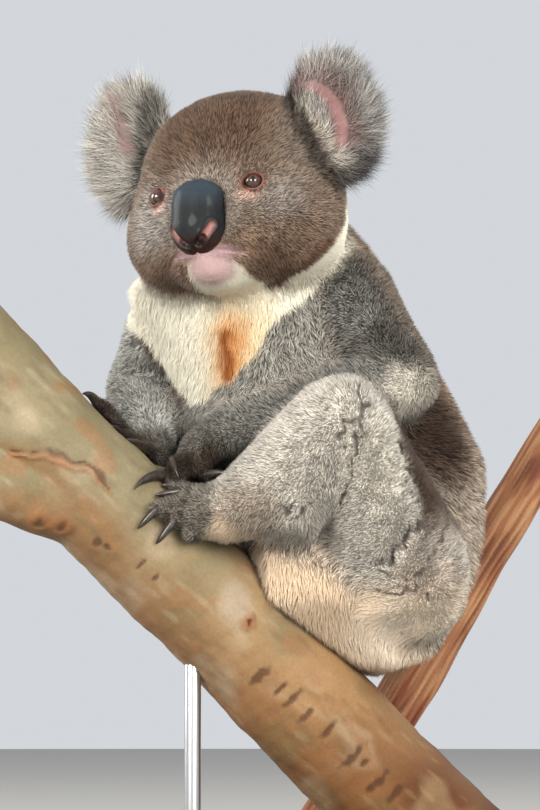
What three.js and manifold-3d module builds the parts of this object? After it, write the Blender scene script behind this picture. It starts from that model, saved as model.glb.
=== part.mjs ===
// A life-size koala wedged in the fork of a smooth-barked gum tree, on a round display stand.
// Millimetres, +Z up. The origin is the middle of the stand's underside; the koala faces -Y and
// its left side is +X. Every part of the animal is a capsule or a ball whose points are pushed out
// to where a field of rounded masses ends, so each part keeps the outline of the coat, and
// neighbours are parted by thin cuts.

import * as THREE from "three";
import { mergeVertices } from "three/addons/utils/BufferGeometryUtils.js";
import Module from "manifold-3d";

const wasm = await Module();
wasm.setup();

const at = (x, y, z) => new THREE.Vector3(x, y, z);
const turned = (x, y, z) =>
  new THREE.Quaternion().setFromEuler(
    new THREE.Euler(...[x, y, z].map((angle) => THREE.MathUtils.degToRad(angle)), "ZYX"),
  );

// ------------------------------------------------------------------ driving dimensions

const gap = 0.4; // left between any two neighbours
const farOut = 900; // longer than anything here, for the blocks that part the body

const stand = { radius: 185, thickness: 18, chamfer: 3, rodRadius: 6, rodsAlongLimb: [85, 285] };

// The tree: its main limb rises under the koala and forks in front of it, and a second stem
// leaves behind its rump.
const tree = {
  limbLow: at(94, 118, 57),
  fork: at(-34, -135, 319),
  upperArm: at(-98, -244, 456),
  lowerArm: at(-84, -256, 344),
  stemLow: at(-21, 84, 81),
  stemHigh: at(116, 228, 411),
};
const limbRadius = 43;
const upperArmRadius = 36;

// Where the joints lie under the coat.
const joint = {
  shoulderLeft: at(54, 14, 472),
  elbowLeft: at(121, 3, 410),
  wristLeft: at(19, -76, 372),
  palmLeft: at(7, -94, 357),
  shoulderRight: at(-67, -22, 453),
  elbowRight: at(-119, -9, 419),
  wristRight: at(-39, -87, 369),
  palmRight: at(-25, -96, 355),
  hipLeft: at(102, 26, 271),
  kneeLeft: at(109, -52, 380),
  ankleLeft: at(45, -98, 314),
  hipRight: at(3, 69, 268),
  kneeRight: at(-65, 32, 371),
  ankleRight: at(-66, -60, 336),
};

// The head's own frame: +X to its left, -Y out of its face, +Z up.
const headPlace = at(9, -47, 554);
const headTurn = turned(0, -5, 15);
const onHead = (x, y, z) => at(x, y, z).applyQuaternion(headTurn).add(headPlace);
const chestTurn = turned(-8, -12, 18);
const rumpTurn = turned(0, 0, -18);

const finish = (name, colour, roughness, metalness = 0) =>
  new THREE.MeshStandardMaterial({ name, color: colour, roughness, metalness });
const greyFur = finish("grey fur", 0x9b948c, 0.95);
const brownFur = finish("brown fur", 0x7d6a5c, 0.95);
const bareSkin = finish("bare skin", 0x2b3036, 0.45);
const horn = finish("claw horn", 0x26221f, 0.35);
const wetEye = finish("wet eye", 0x4a2416, 0.1);
const gumBark = finish("gum bark", 0xb9a383, 0.8);
const redBark = finish("red bark", 0x9c5a42, 0.8);
const darkWood = finish("dark wood", 0x3d2c22, 0.5);
const steel = finish("brushed steel", 0x9a9ca0, 0.35, 1);

// ------------------------------------------------------------------ fields: negative inside, in mm

// A limb's mass: a ball at each end and the cone between them.
const roundCone = (a, b, radiusA, radiusB) => {
  const along = b.clone().sub(a);
  const lengthSquared = along.lengthSq();
  return (p) => {
    const t = THREE.MathUtils.clamp(p.clone().sub(a).dot(along) / lengthSquared, 0, 1);
    return p.distanceTo(a.clone().addScaledVector(along, t)) - THREE.MathUtils.lerp(radiusA, radiusB, t);
  };
};

// An egg-like mass, turned with the part that it belongs to.
const mass = (centre, radii, turn = turned(0, 0, 0)) => {
  const back = turn.clone().invert();
  const squared = radii.clone().multiply(radii);
  return (p) => {
    const q = p.clone().sub(centre).applyQuaternion(back);
    const scaled = q.clone().divide(radii).length();
    const slope = q.clone().divide(squared).length();
    return slope < 1e-9 ? -Math.min(radii.x, radii.y, radii.z) : (scaled * (scaled - 1)) / slope;
  };
};

// A run of round cones through a list of points, each with its own radius.
const chain = (softness, points, radii) =>
  blend(softness, ...points.slice(1).map((b, i) => roundCone(points[i], b, radii[i], radii[i + 1])));

const softMin = (a, b, softness) => {
  const near = Math.max(softness - Math.abs(a - b), 0) / softness;
  return Math.min(a, b) - (near * near * softness) / 4;
};
const blend = (softness, ...fields) => (p) =>
  fields.map((field) => field(p)).reduce((a, b) => softMin(a, b, softness));
const hollowed = (softness, field, tool) => (p) => -softMin(-field(p), tool(p), softness);

// ------------------------------------------------------------------ from a field to a closed surface

// The geometry with its seams and poles joined, so that it is one closed surface.
function sealed(geometry) {
  geometry.deleteAttribute("normal");
  geometry.deleteAttribute("uv");
  const merged = mergeVertices(geometry, 1e-3);
  const corners = [];
  for (let i = 0; i < merged.index.count; i += 3) {
    const [a, b, c] = [0, 1, 2].map((k) => merged.index.getX(i + k));
    if (a !== b && b !== c && c !== a) corners.push(a, b, c);
  }
  merged.setIndex(corners);
  return merged;
}

// How far from a point inside the field its surface lies, in one direction.
function reach(field, origin, direction) {
  let inner = 0;
  let outer = 0;
  let value = field(origin);
  if (value > 0) throw new Error("a spine leaves its field near " + origin.toArray());
  while (value < 0 && outer < farOut) {
    inner = outer;
    outer += THREE.MathUtils.clamp(-value, 0.8, 8);
    value = field(origin.clone().addScaledVector(direction, outer));
  }
  for (let i = 0; i < 12; i++) {
    const middle = (inner + outer) / 2;
    if (field(origin.clone().addScaledVector(direction, middle)) < 0) inner = middle;
    else outer = middle;
  }
  return (inner + outer) / 2;
}

// A capsule laid along a spine, each of its points pushed out to the field's surface.
function wrapSpine(field, spine, { around = 14, along = 6, caps = 4 } = {}) {
  const curve = new THREE.CatmullRomCurve3(spine);
  const frames = curve.computeFrenetFrames(along);
  const geometry = sealed(new THREE.CapsuleGeometry(1, 1, caps, around, along));
  const place = geometry.attributes.position;
  for (let i = 0; i < place.count; i++) {
    const height = THREE.MathUtils.clamp(place.getY(i), -0.5, 0.5);
    const ring = Math.round((height + 0.5) * along);
    const direction = new THREE.Vector3()
      .addScaledVector(frames.binormals[ring], place.getX(i))
      .addScaledVector(frames.tangents[ring], place.getY(i) - height)
      .addScaledVector(frames.normals[ring], place.getZ(i))
      .normalize();
    const origin = curve.getPointAt(ring / along);
    origin.addScaledVector(direction, reach(field, origin, direction));
    place.setXYZ(i, origin.x, origin.y, origin.z);
  }
  return geometry;
}

// A ball round one point; stretch leans its points towards the long sides of a flat mass.
function wrapBall(field, centre, detail, stretch = at(1, 1, 1), turn = turned(0, 0, 0)) {
  const geometry = sealed(new THREE.IcosahedronGeometry(1, detail));
  const place = geometry.attributes.position;
  const direction = new THREE.Vector3();
  for (let i = 0; i < place.count; i++) {
    direction.fromBufferAttribute(place, i).multiply(stretch).normalize().applyQuaternion(turn);
    const point = centre.clone().addScaledVector(direction, reach(field, centre, direction));
    place.setXYZ(i, point.x, point.y, point.z);
  }
  return geometry;
}

// ------------------------------------------------------------------ solids

function solid(geometry) {
  const mesh = new wasm.Mesh({
    numProp: 3,
    vertProperties: geometry.attributes.position.array,
    triVerts: new Uint32Array(geometry.index.array),
  });
  return new wasm.Manifold(mesh);
}

// The largest closed surface of a solid: a cut between two curved parts can leave crumbs beside it.
function geometryOf(body) {
  const mesh = body.getMesh();
  const whole = new THREE.BufferGeometry();
  whole.setAttribute("position", new THREE.BufferAttribute(mesh.vertProperties, 3));
  whole.setIndex(new THREE.BufferAttribute(mesh.triVerts, 1));
  const geometry = sealed(whole);
  const place = geometry.attributes.position;
  const triangles = [];
  for (let i = 0; i < geometry.index.count; i += 3) {
    triangles.push([0, 1, 2].map((k) => geometry.index.getX(i + k)));
  }
  const parent = Array.from({ length: place.count }, (_, i) => i);
  const rootOf = (i) => {
    while (parent[i] !== i) i = parent[i];
    return i;
  };
  for (const [a, b, c] of triangles) {
    parent[rootOf(b)] = rootOf(a);
    parent[rootOf(c)] = rootOf(a);
  }
  const corner = (i) => new THREE.Vector3().fromBufferAttribute(place, i);
  const volumes = new Map();
  for (const [a, b, c] of triangles) {
    const root = rootOf(a);
    volumes.set(root, (volumes.get(root) ?? 0) + corner(a).dot(corner(b).cross(corner(c))) / 6);
  }
  const [largest] = [...volumes].sort((one, other) => other[1] - one[1])[0];
  geometry.setIndex(triangles.filter(([a]) => rootOf(a) === largest).flat());
  geometry.computeVertexNormals();
  return geometry;
}

// A block that fills the side of a plane that its normal points to.
function beyond(point, normal) {
  const block = new THREE.BoxGeometry(farOut, farOut, farOut);
  block.translate(0, 0, farOut / 2);
  const unit = normal.clone().normalize();
  block.applyQuaternion(new THREE.Quaternion().setFromUnitVectors(at(0, 0, 1), unit));
  block.translate(point.x, point.y, point.z);
  return solid(sealed(block));
}

// Keeps what lies behind a plane, half the gap short of it.
function trimmed(body, point, normal) {
  const unit = normal.clone().normalize();
  return body.subtract(beyond(point.clone().addScaledVector(unit, -gap / 2), unit));
}

// A body and the same body a gap larger, which is what its neighbours are cut with.
const piece = (make) => ({ body: make(0), grown: make(gap) });
const grownBy = (field, by) => (p) => field(p) - by;
const spinePiece = (field, spine, detail) =>
  piece((by) => solid(wrapSpine(grownBy(field, by), spine, detail)));
const without = (made, ...neighbours) => ({
  body: neighbours.reduce((body, neighbour) => body.subtract(neighbour.grown), made.body),
  grown: made.grown,
});
const joined = (...pieces) => ({
  body: pieces.map((made) => made.body).reduce((a, b) => a.add(b)),
  grown: pieces.map((made) => made.grown).reduce((a, b) => a.add(b)),
});

// Two bones that meet at a bend share the plane that halves it.
function partAtBend(before, after, beforePoint, bend, afterPoint) {
  const towardsBefore = beforePoint.clone().sub(bend).normalize();
  const towardsAfter = afterPoint.clone().sub(bend).normalize();
  const normal = towardsAfter.sub(towardsBefore);
  return [
    { body: trimmed(before.body, bend, normal), grown: before.grown },
    { body: trimmed(after.body, bend, normal.clone().negate()), grown: after.grown },
  ];
}

// ------------------------------------------------------------------ the tree and the stand

// A place on a branch: along it from the fork, round from its crest towards the koala's left,
// and out of its bark.
const branchPlace = (axis, radius) => (along, round, out) => {
  const crest = at(0, 0, 1).projectOnPlane(axis).normalize();
  const angle = THREE.MathUtils.degToRad(round);
  return tree.fork
    .clone()
    .addScaledVector(axis, along)
    .addScaledVector(crest, Math.cos(angle) * (radius + out))
    .addScaledVector(crest.clone().cross(axis), Math.sin(angle) * (radius + out));
};
const limbAxis = tree.fork.clone().sub(tree.limbLow).normalize();
const onLimb = (down, round, out) => branchPlace(limbAxis, limbRadius)(-down, round, out);
const onArm = branchPlace(tree.upperArm.clone().sub(tree.fork).normalize(), upperArmRadius);

// Sawn off square at a point, the cut facing away from another point.
const sawn = (body, end, from) => body.subtract(beyond(end, end.clone().sub(from)));

const limb = piece((grow) => {
  const main = roundCone(tree.limbLow, tree.fork, limbRadius + 3 + grow, limbRadius + grow);
  const upper = roundCone(tree.fork, tree.upperArm, 38 + grow, 33 + grow);
  const lower = roundCone(tree.fork, tree.lowerArm, 34 + grow, 20 + grow);
  const whole = blend(22, main, upper, lower);
  const own = (field) => (p) => Math.max(whole(p), field(p) - 6);
  let made = solid(wrapSpine(own(main), [tree.limbLow, tree.fork], { around: 12, along: 4, caps: 2 }));
  for (const [field, end] of [
    [upper, tree.upperArm],
    [lower, tree.lowerArm],
  ]) {
    made = made.add(solid(wrapSpine(own(field), [tree.fork, end], { around: 10, along: 3, caps: 2 })));
    made = sawn(made, end, tree.fork);
  }
  return sawn(made, tree.limbLow, tree.fork);
});

const stemField = roundCone(tree.stemLow, tree.stemHigh, 21, 17);
const stemWhole = spinePiece(stemField, [tree.stemLow, tree.stemHigh], { around: 12, along: 3, caps: 2 });
const stem = without(
  {
    body: sawn(sawn(stemWhole.body, tree.stemLow, tree.stemHigh), tree.stemHigh, tree.stemLow),
    grown: stemWhole.grown,
  },
  limb,
);

const base = new THREE.LatheGeometry(
  [
    new THREE.Vector2(0, 0),
    new THREE.Vector2(stand.radius, 0),
    new THREE.Vector2(stand.radius, stand.thickness - stand.chamfer),
    new THREE.Vector2(stand.radius - stand.chamfer, stand.thickness),
    new THREE.Vector2(0, stand.thickness),
  ],
  24,
).rotateX(Math.PI / 2);

// A rod stands on the base under a point of the limb's axis and ends against the bark.
const rods = stand.rodsAlongLimb.map((down) => {
  const top = tree.fork.clone().addScaledVector(limbAxis, -down);
  const foot = stand.thickness + gap;
  const rod = new THREE.CylinderGeometry(stand.rodRadius, stand.rodRadius, top.z - foot, 8);
  rod.rotateX(Math.PI / 2);
  rod.translate(top.x, top.y, (top.z + foot) / 2);
  return solid(sealed(rod)).subtract(limb.grown);
});

// ------------------------------------------------------------------ the head

const headField = blend(
  24,
  mass(onHead(0, 10, 12), at(75, 72, 62), headTurn),
  mass(onHead(39, -8, -33), at(45, 52, 42), headTurn),
  mass(onHead(-39, -8, -33), at(45, 52, 42), headTurn),
  mass(onHead(0, -54, -36), at(30, 30, 34), headTurn),
  mass(onHead(0, -48, -66), at(24, 26, 16), headTurn),
);
// Its neighbours are cut with a coarser and slightly larger copy.
const headWhole = {
  body: solid(wrapBall(headField, onHead(0, 0, -4), 6)),
  grown: solid(wrapBall(grownBy(headField, gap + 0.9), onHead(0, 0, -4), 5)),
};

const noseCentre = onHead(1, -76, -29);
const noseField = blend(
  10,
  mass(onHead(1, -72, -17), at(19, 15, 15), headTurn),
  mass(onHead(1, -74, -36), at(20, 18, 18), headTurn),
);
const nose = piece((by) => solid(wrapBall(grownBy(noseField, by), noseCentre, 2)));

const sides = [1, -1];
const [eyeLeft, eyeRight] = sides.map((side) => {
  const centre = onHead(36.7 * side, -52.1, -8.4);
  return piece((by) => solid(wrapBall(mass(centre, at(8 + by, 8 + by, 8 + by)), centre, 1)));
});

const [earLeft, earRight] = sides.map((side) => {
  const turn = headTurn.clone().multiply(turned(0, 0, 10 * side));
  const centre = onHead(79 * side - 3, -2, 40 - 3 * side);
  const bowl = centre.clone().add(at(-2 * side, -16, 2).applyQuaternion(turn));
  const field = hollowed(
    8,
    blend(
      12,
      mass(centre, at(41, 16, 57), turn),
      mass(onHead(62 * side, 2, 28), at(24, 18, 34), headTurn),
    ),
    mass(bowl, at(26, 12, 38), turn),
  );
  const ear = piece((by) => solid(wrapBall(grownBy(field, by), centre, 3, at(1, 0.5, 1.2), turn)));
  return without(ear, headWhole);
});
const head = without(headWhole, nose, eyeLeft, eyeRight);

// ------------------------------------------------------------------ claws, digits, hands and feet

const clawDetail = { around: 5, along: 2, caps: 1 };
const claw = (...points) => spinePiece(chain(2, points, [4.4, 3.4, 0.9]), points, clawDetail);

// A claw that runs on along the bark from a digit's tip, down or up the limb and round it.
const clawOverLimb = (down, round, out, reachDown, reachRound) =>
  claw(
    onLimb(down, round, out),
    onLimb(down + reachDown * 0.6, round + reachRound * 0.6, out + 1),
    onLimb(down + reachDown, round + reachRound, 1.5),
  );

// A digit runs from the palm over its knuckle to its tip.
const digit = (radius, ...points) =>
  spinePiece(chain(4, points, [radius + 1, radius, radius - 1.5]), points, clawDetail);

// A hand or a foot: its palm and its digits are one body, cut by its claws, by the tree and by
// what lies on it.
function paw({ palm, radii, digits, claws, onTop = [] }) {
  const palmPiece = spinePiece(chain(8, palm, radii), palm, { around: 6, along: 2, caps: 1 });
  const cutClaws = claws.map((each) => without(each, limb, ...onTop));
  return { flesh: without(joined(palmPiece, ...digits), limb, ...cutClaws, ...onTop), claws: cutClaws };
}

const handLeft = paw({
  palm: [joint.wristLeft, joint.palmLeft],
  radii: [19, 17],
  digits: [
    digit(7.5, joint.palmLeft, at(14, -112, 345), at(10, -130, 340)),
    digit(7.5, joint.palmLeft, at(8, -108, 351), at(11, -122, 350)),
    digit(7.5, joint.palmLeft, at(14, -100, 346), at(24, -94, 341)),
    digit(7.5, joint.palmLeft, onLimb(30, 10, 12), onLimb(40, -8, 9)),
    digit(7.5, joint.palmLeft, onLimb(24, 4, 12), onLimb(29, -16, 9)),
  ],
  claws: [
    claw(at(10, -130, 340), at(8, -143, 342), at(7, -156, 330)),
    claw(at(11, -122, 350), at(19, -129, 349), at(26, -131, 339)),
    claw(at(24, -94, 341), at(31, -88, 344), at(36, -80, 340)),
    clawOverLimb(40, -8, 9, 6, -16),
    clawOverLimb(29, -16, 9, 2, -16),
  ],
});

const handRight = paw({
  palm: [joint.wristRight, joint.palmRight],
  radii: [18, 17],
  digits: [
    digit(7.5, joint.palmRight, onArm(8, -2, 13), onArm(19, 14, 10)),
    digit(7.5, joint.palmRight, onArm(12, -18, 14), onArm(27, -6, 11)),
    digit(7, joint.palmRight, onLimb(-2, -22, 12), onLimb(-6, -36, 9)),
    digit(7, joint.palmRight, onLimb(6, -20, 12), onLimb(8, -36, 9)),
    digit(7, joint.palmRight, onLimb(14, -16, 12), onLimb(20, -32, 9)),
  ],
  claws: [
    claw(onArm(19, 14, 10), onArm(27, 22, 8), onArm(34, 32, 3)),
    claw(onArm(27, -6, 11), onArm(36, 0, 8), onArm(44, 8, 3)),
    clawOverLimb(-6, -36, 9, -2, -14),
    clawOverLimb(8, -36, 9, 2, -14),
    clawOverLimb(20, -32, 9, 4, -14),
  ],
});

// On each foot the second and third toes are one, with two claws, and the big toe has none.
const footLeft = paw({
  palm: [joint.ankleLeft, onLimb(46, 58, 20), onLimb(30, 54, 16)],
  radii: [20, 19, 16],
  digits: [
    digit(8, onLimb(34, 52, 13), onLimb(24, 49, 10), onLimb(15, 53, 8)),
    digit(9, onLimb(30, 56, 15), onLimb(22, 66, 12), onLimb(11, 84, 8)),
    digit(8.5, onLimb(40, 58, 15), onLimb(33, 68, 12), onLimb(27, 82, 8)),
    digit(8, onLimb(46, 62, 14), onLimb(46, 72, 11), onLimb(43, 81, 9)),
  ],
  claws: [
    clawOverLimb(16, 47, 8, -8, 6),
    clawOverLimb(14, 58, 8, -7, 12),
    clawOverLimb(11, 84, 8, 2, 20),
    clawOverLimb(27, 82, 8, 3, 20),
  ],
  onTop: handLeft.claws,
});

const footRight = paw({
  palm: [joint.ankleRight, onLimb(16, -54, 15), onArm(40, -34, 14)],
  radii: [19, 18, 15],
  digits: [
    digit(8.5, onArm(36, -28, 14), onArm(50, -14, 12), onArm(63, -8, 9)),
    digit(8.5, onArm(36, -38, 14), onArm(52, -36, 13), onArm(66, -34, 10)),
    digit(8.5, onArm(34, -46, 14), onArm(50, -62, 13), onArm(62, -68, 9)),
    digit(8, onArm(14, -34, 14), onArm(30, -10, 11), onArm(42, 4, 8)),
  ],
  claws: [
    claw(onArm(63, -8, 9), onArm(70, -2, 8), onArm(75, 5, 2)),
    claw(onArm(66, -34, 10), onArm(75, -33, 8), onArm(81, -32, 2)),
    claw(onArm(62, -63, 9), onArm(71, -62, 7), onArm(78, -61, 2)),
    claw(onArm(60, -74, 9), onArm(68, -78, 7), onArm(74, -80, 2)),
  ],
});

// ------------------------------------------------------------------ limbs

const limbDetail = { around: 10, along: 3, caps: 2 };

// A thigh and shank, or an upper arm and forearm: each is a round cone and the muscle on it, and
// they part at the bend.
function bentLimb([root, bend, end], radii, upperMuscle, lowerMuscle) {
  const upper = blend(14, roundCone(root, bend, radii[0], radii[1]), ...upperMuscle);
  const lower = blend(14, roundCone(bend, end, radii[1], radii[2]), ...lowerMuscle);
  return partAtBend(
    spinePiece(upper, [root, bend], limbDetail),
    spinePiece(lower, [bend, end], limbDetail),
    root,
    bend,
    end,
  );
}

const [thighLeft, shankLeft] = bentLimb(
  [joint.hipLeft, joint.kneeLeft, joint.ankleLeft],
  [54, 35, 24],
  [],
  [mass(at(80, -60, 322), at(36, 34, 36))],
);
const [thighRight, shankRight] = bentLimb(
  [joint.hipRight, joint.kneeRight, joint.ankleRight],
  [56, 35, 24],
  [],
  [mass(at(-62, -4, 345), at(36, 34, 34))],
);
const [upperArmLeft, forearmLeft] = bentLimb(
  [joint.shoulderLeft, joint.elbowLeft, joint.wristLeft],
  [40, 30, 20],
  [mass(joint.shoulderLeft, at(44, 42, 46))],
  [],
);
const [upperArmRight, forearmRight] = bentLimb(
  [joint.shoulderRight, joint.elbowRight, joint.wristRight],
  [38, 30, 18],
  [mass(joint.shoulderRight, at(46, 42, 46))],
  [],
);

// ------------------------------------------------------------------ the trunk and the neck

const trunkField = blend(
  30,
  mass(at(-4, 0, 452), at(84, 76, 86), chestTurn),
  mass(at(16, 12, 372), at(90, 84, 88), rumpTurn),
  roundCone(at(18, 40, 466), at(52, 60, 342), 58, 84),
  mass(at(50, 52, 283), at(78, 82, 85), rumpTurn),
  roundCone(at(10, 14, 479), at(10, -21, 520), 58, 54),
  mass(at(-60, -30, 492), at(55, 48, 38), chestTurn),
  roundCone(at(91, 21, 250), at(48, -41, 275), 46, 36),
  roundCone(at(14, 77, 252), at(-21, 15, 279), 46, 36),
);
const neckCut = { point: at(10, 6, 492), normal: at(0, -0.45, 1) };
const trunkSpine = [at(52, 50, 262), at(46, 44, 340), at(10, 14, 440), at(9, -4, 505)];
const trunkWhole = spinePiece(trunkField, trunkSpine, { around: 14, along: 7, caps: 2 });

// ------------------------------------------------------------ the model: later parts give way

const footLeftCut = without(footLeft.flesh, shankLeft);
const handLeftCut = without(handLeft.flesh, footLeft.flesh, ...footLeft.claws);
const handRightCut = without(handRight.flesh, handLeft.flesh, ...handLeft.claws);
const footRightCut = without(footRight.flesh, handRight.flesh, ...handRight.claws, shankRight);
const shankLeftCut = without(shankLeft, limb, handLeft.flesh, ...handLeft.claws);
const shankRightCut = without(shankRight, limb, handRight.flesh);
const forearmLeftCut = without(forearmLeft, limb, handLeft.flesh, handRight.flesh, shankLeft);
const forearmRightCut = without(
  forearmRight,
  limb,
  handRight.flesh,
  handLeft.flesh,
  footRight.flesh,
  shankRight,
  forearmLeft,
);
const thighLeftCut = without(thighLeft, limb, stem, forearmLeft);
const thighRightCut = without(thighRight, limb, stem, forearmRight);
const upperArmLeftCut = without(upperArmLeft, headWhole, thighLeft, shankLeft);
const upperArmRightCut = without(upperArmRight, headWhole, thighRight, shankRight);
const trunkCut = without(
  trunkWhole,
  headWhole,
  limb,
  stem,
  upperArmLeft,
  upperArmRight,
  forearmLeft,
  forearmRight,
  thighLeft,
  thighRight,
  shankLeft,
  shankRight,
  handLeft.flesh,
);

const model = new THREE.Group();
function add(name, look, body) {
  const mesh = new THREE.Mesh(geometryOf(body), look);
  mesh.name = name;
  model.add(mesh);
}

add("stand_base", darkWood, solid(sealed(base)));
rods.forEach((rod, i) => add("stand_rod_" + (i + 1), steel, rod));
add("perch_limb", gumBark, limb.body);
add("perch_stem", redBark, stem.body);
add("head", brownFur, head.body);
add("nose", bareSkin, nose.body);
add("eye_left", wetEye, eyeLeft.body);
add("eye_right", wetEye, eyeRight.body);
add("ear_left", greyFur, earLeft.body);
add("ear_right", greyFur, earRight.body);
add("neck", greyFur, trimmed(trunkCut.body, neckCut.point, neckCut.normal.clone().negate()));
add("trunk", greyFur, trimmed(trunkCut.body, neckCut.point, neckCut.normal));
add("upper_arm_left", greyFur, upperArmLeftCut.body);
add("upper_arm_right", greyFur, upperArmRightCut.body);
add("forearm_left", greyFur, forearmLeftCut.body);
add("forearm_right", greyFur, forearmRightCut.body);
add("hand_left", greyFur, handLeftCut.body);
add("hand_right", greyFur, handRightCut.body);
add("thigh_left", greyFur, thighLeftCut.body);
add("thigh_right", greyFur, thighRightCut.body);
add("shank_left", greyFur, shankLeftCut.body);
add("shank_right", greyFur, shankRightCut.body);
add("foot_left", greyFur, footLeftCut.body);
add("foot_right", greyFur, footRightCut.body);
handLeft.claws.forEach((each, i) => add("claw_hand_left_" + (i + 1), horn, each.body));
handRight.claws.forEach((each, i) => add("claw_hand_right_" + (i + 1), horn, each.body));
footLeft.claws.forEach((each, i) => add("claw_foot_left_" + (i + 1), horn, each.body));
footRight.claws.forEach((each, i) => add("claw_foot_right_" + (i + 1), horn, each.body));

export default model;
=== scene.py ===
"""A life-size koala in the fork of a gum limb: the looks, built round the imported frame."""

import math

import bmesh
import bpy
import numpy as np
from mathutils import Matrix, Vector
from mathutils.bvhtree import BVHTree


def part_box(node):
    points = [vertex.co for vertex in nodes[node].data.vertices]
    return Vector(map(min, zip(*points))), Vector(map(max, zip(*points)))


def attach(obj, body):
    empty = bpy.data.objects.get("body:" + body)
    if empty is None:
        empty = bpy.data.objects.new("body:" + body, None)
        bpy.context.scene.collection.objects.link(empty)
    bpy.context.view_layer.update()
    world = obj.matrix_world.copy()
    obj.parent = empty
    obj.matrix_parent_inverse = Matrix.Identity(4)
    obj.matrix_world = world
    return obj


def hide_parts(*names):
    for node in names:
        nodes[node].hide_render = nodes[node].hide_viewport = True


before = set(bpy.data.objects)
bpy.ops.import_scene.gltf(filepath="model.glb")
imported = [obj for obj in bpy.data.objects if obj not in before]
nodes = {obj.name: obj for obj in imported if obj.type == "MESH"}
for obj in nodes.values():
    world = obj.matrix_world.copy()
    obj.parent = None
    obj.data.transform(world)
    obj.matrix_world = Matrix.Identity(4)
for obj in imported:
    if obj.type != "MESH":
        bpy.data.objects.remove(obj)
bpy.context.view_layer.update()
MM = 0.001
rng = np.random.default_rng(7)

FLESH = [n for n in nodes if not n.startswith(("claw_", "eye_", "nose", "stand_", "perch_"))]
SIDES = {"left": 1, "right": -1}


def centre(node):
    """The middle of a CAD node's box, in millimetres."""
    low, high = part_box(node)
    return np.array((low + high) / 2) / MM


# The head's own axes, in millimetres: x to its left, -y out of its face, z up. The eyes give them.
EYE_IN_HEAD = np.array([36.7, -52.1, -8.4])
EYE_RADIUS = 8.0


def head_frame():
    x = centre("eye_left") - centre("eye_right")
    x /= np.linalg.norm(x)
    y = np.cross([0, 0, 1], x)
    y /= np.linalg.norm(y)
    axes = np.array([x, y, np.cross(x, y)])
    between = (centre("eye_left") + centre("eye_right")) / 2
    return axes, between - (EYE_IN_HEAD * [0, 1, 1]) @ axes


head_axes, head_place = head_frame()


def in_head(points):
    return (points - head_place) @ head_axes.T


def out_of_head(points):
    return points @ head_axes + head_place


# ------------------------------------------------------------------ small helpers


def pick(*pieces):
    bpy.ops.object.select_all(action="DESELECT")
    for piece in pieces:
        piece.select_set(True)
    bpy.context.view_layer.objects.active = pieces[0]


def edit_all(piece):
    pick(piece)
    bpy.ops.object.mode_set(mode="EDIT")
    bpy.ops.mesh.select_all(action="SELECT")


def leave_edit():
    bpy.ops.object.mode_set(mode="OBJECT")


def finish_with(piece, kind, **settings):
    """Adds a modifier and applies it."""
    pick(piece)
    modifier = piece.modifiers.new(kind.title(), kind)
    for name, value in settings.items():
        setattr(modifier, name, value)
    bpy.ops.object.modifier_apply(modifier=modifier.name)


def copy_of(node, name):
    """A copy of a CAD node with its loose triangles merged."""
    piece = bpy.data.objects.new(name, nodes[node].data.copy())
    bpy.context.scene.collection.objects.link(piece)
    piece.data.materials.clear()
    edit_all(piece)
    bpy.ops.mesh.customdata_custom_splitnormals_clear()
    bpy.ops.mesh.remove_doubles(threshold=0.01 * MM)
    leave_edit()
    return piece


def joined(pieces, name):
    pick(*pieces)
    if len(pieces) > 1:
        bpy.ops.object.join()
    piece = bpy.context.view_layer.objects.active
    piece.name = name
    return piece


def points_of(piece):
    """The piece's points, in millimetres."""
    flat = np.empty(len(piece.data.vertices) * 3)
    piece.data.vertices.foreach_get("co", flat)
    return flat.reshape(-1, 3) / MM


def move_points(piece, points):
    piece.data.vertices.foreach_set("co", (points * MM).ravel())
    piece.data.update()


def normals_of(piece):
    flat = np.empty(len(piece.data.vertices) * 3)
    piece.data.vertex_normals.foreach_get("vector", flat)
    return flat.reshape(-1, 3)


def smooth_shaded(piece):
    piece.data.polygons.foreach_set("use_smooth", np.ones(len(piece.data.polygons), bool))


def set_colours(piece, name, colours):
    """Keeps a linear colour for each point of the piece."""
    layer = piece.data.attributes.new(name, "FLOAT_COLOR", "POINT")
    full = np.ones((len(colours), 4), np.float32)
    full[:, :3] = colours
    layer.data.foreach_set("color", full.ravel())


def unit(vectors):
    return vectors / np.maximum(np.linalg.norm(vectors, axis=-1, keepdims=True), 1e-9)


def smooth_step(low, high, value):
    t = np.clip((value - low) / (high - low), 0, 1)
    return t * t * (3 - 2 * t)


def blob(points, middle, radii, softness=0.35):
    """1 inside an egg shape and 0 outside it, soft at its border."""
    reach = np.linalg.norm((points - middle) / radii, axis=1)
    return 1 - smooth_step(1 - softness, 1 + softness, reach)


def from_path(points, path):
    """How far each point is from a line through a few places."""
    nearest = np.full(len(points), 1e9)
    for a, b in zip(np.array(path[:-1], float), np.array(path[1:], float)):
        t = np.clip((points - a) @ (b - a) / ((b - a) @ (b - a)), 0, 1)
        nearest = np.minimum(nearest, np.linalg.norm(points - a - t[:, None] * (b - a), axis=1))
    return nearest


def band(points, path, radius, softness=0.4):
    """1 within a radius of a line through a few places, soft at its border."""
    return 1 - smooth_step(radius * (1 - softness), radius * (1 + softness), from_path(points, path))


def ripple(points, wavelength, seed):
    """A smooth random value from about -1 to 1 at each point."""
    turn = np.random.default_rng(seed)
    waves = unit(turn.normal(size=(6, 3))) * turn.uniform(0.7, 1.4, (6, 1)) * 2 * np.pi / wavelength
    return np.sin(points @ waves.T + turn.uniform(0, 2 * np.pi, 6)).sum(axis=1) / 2.5


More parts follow.
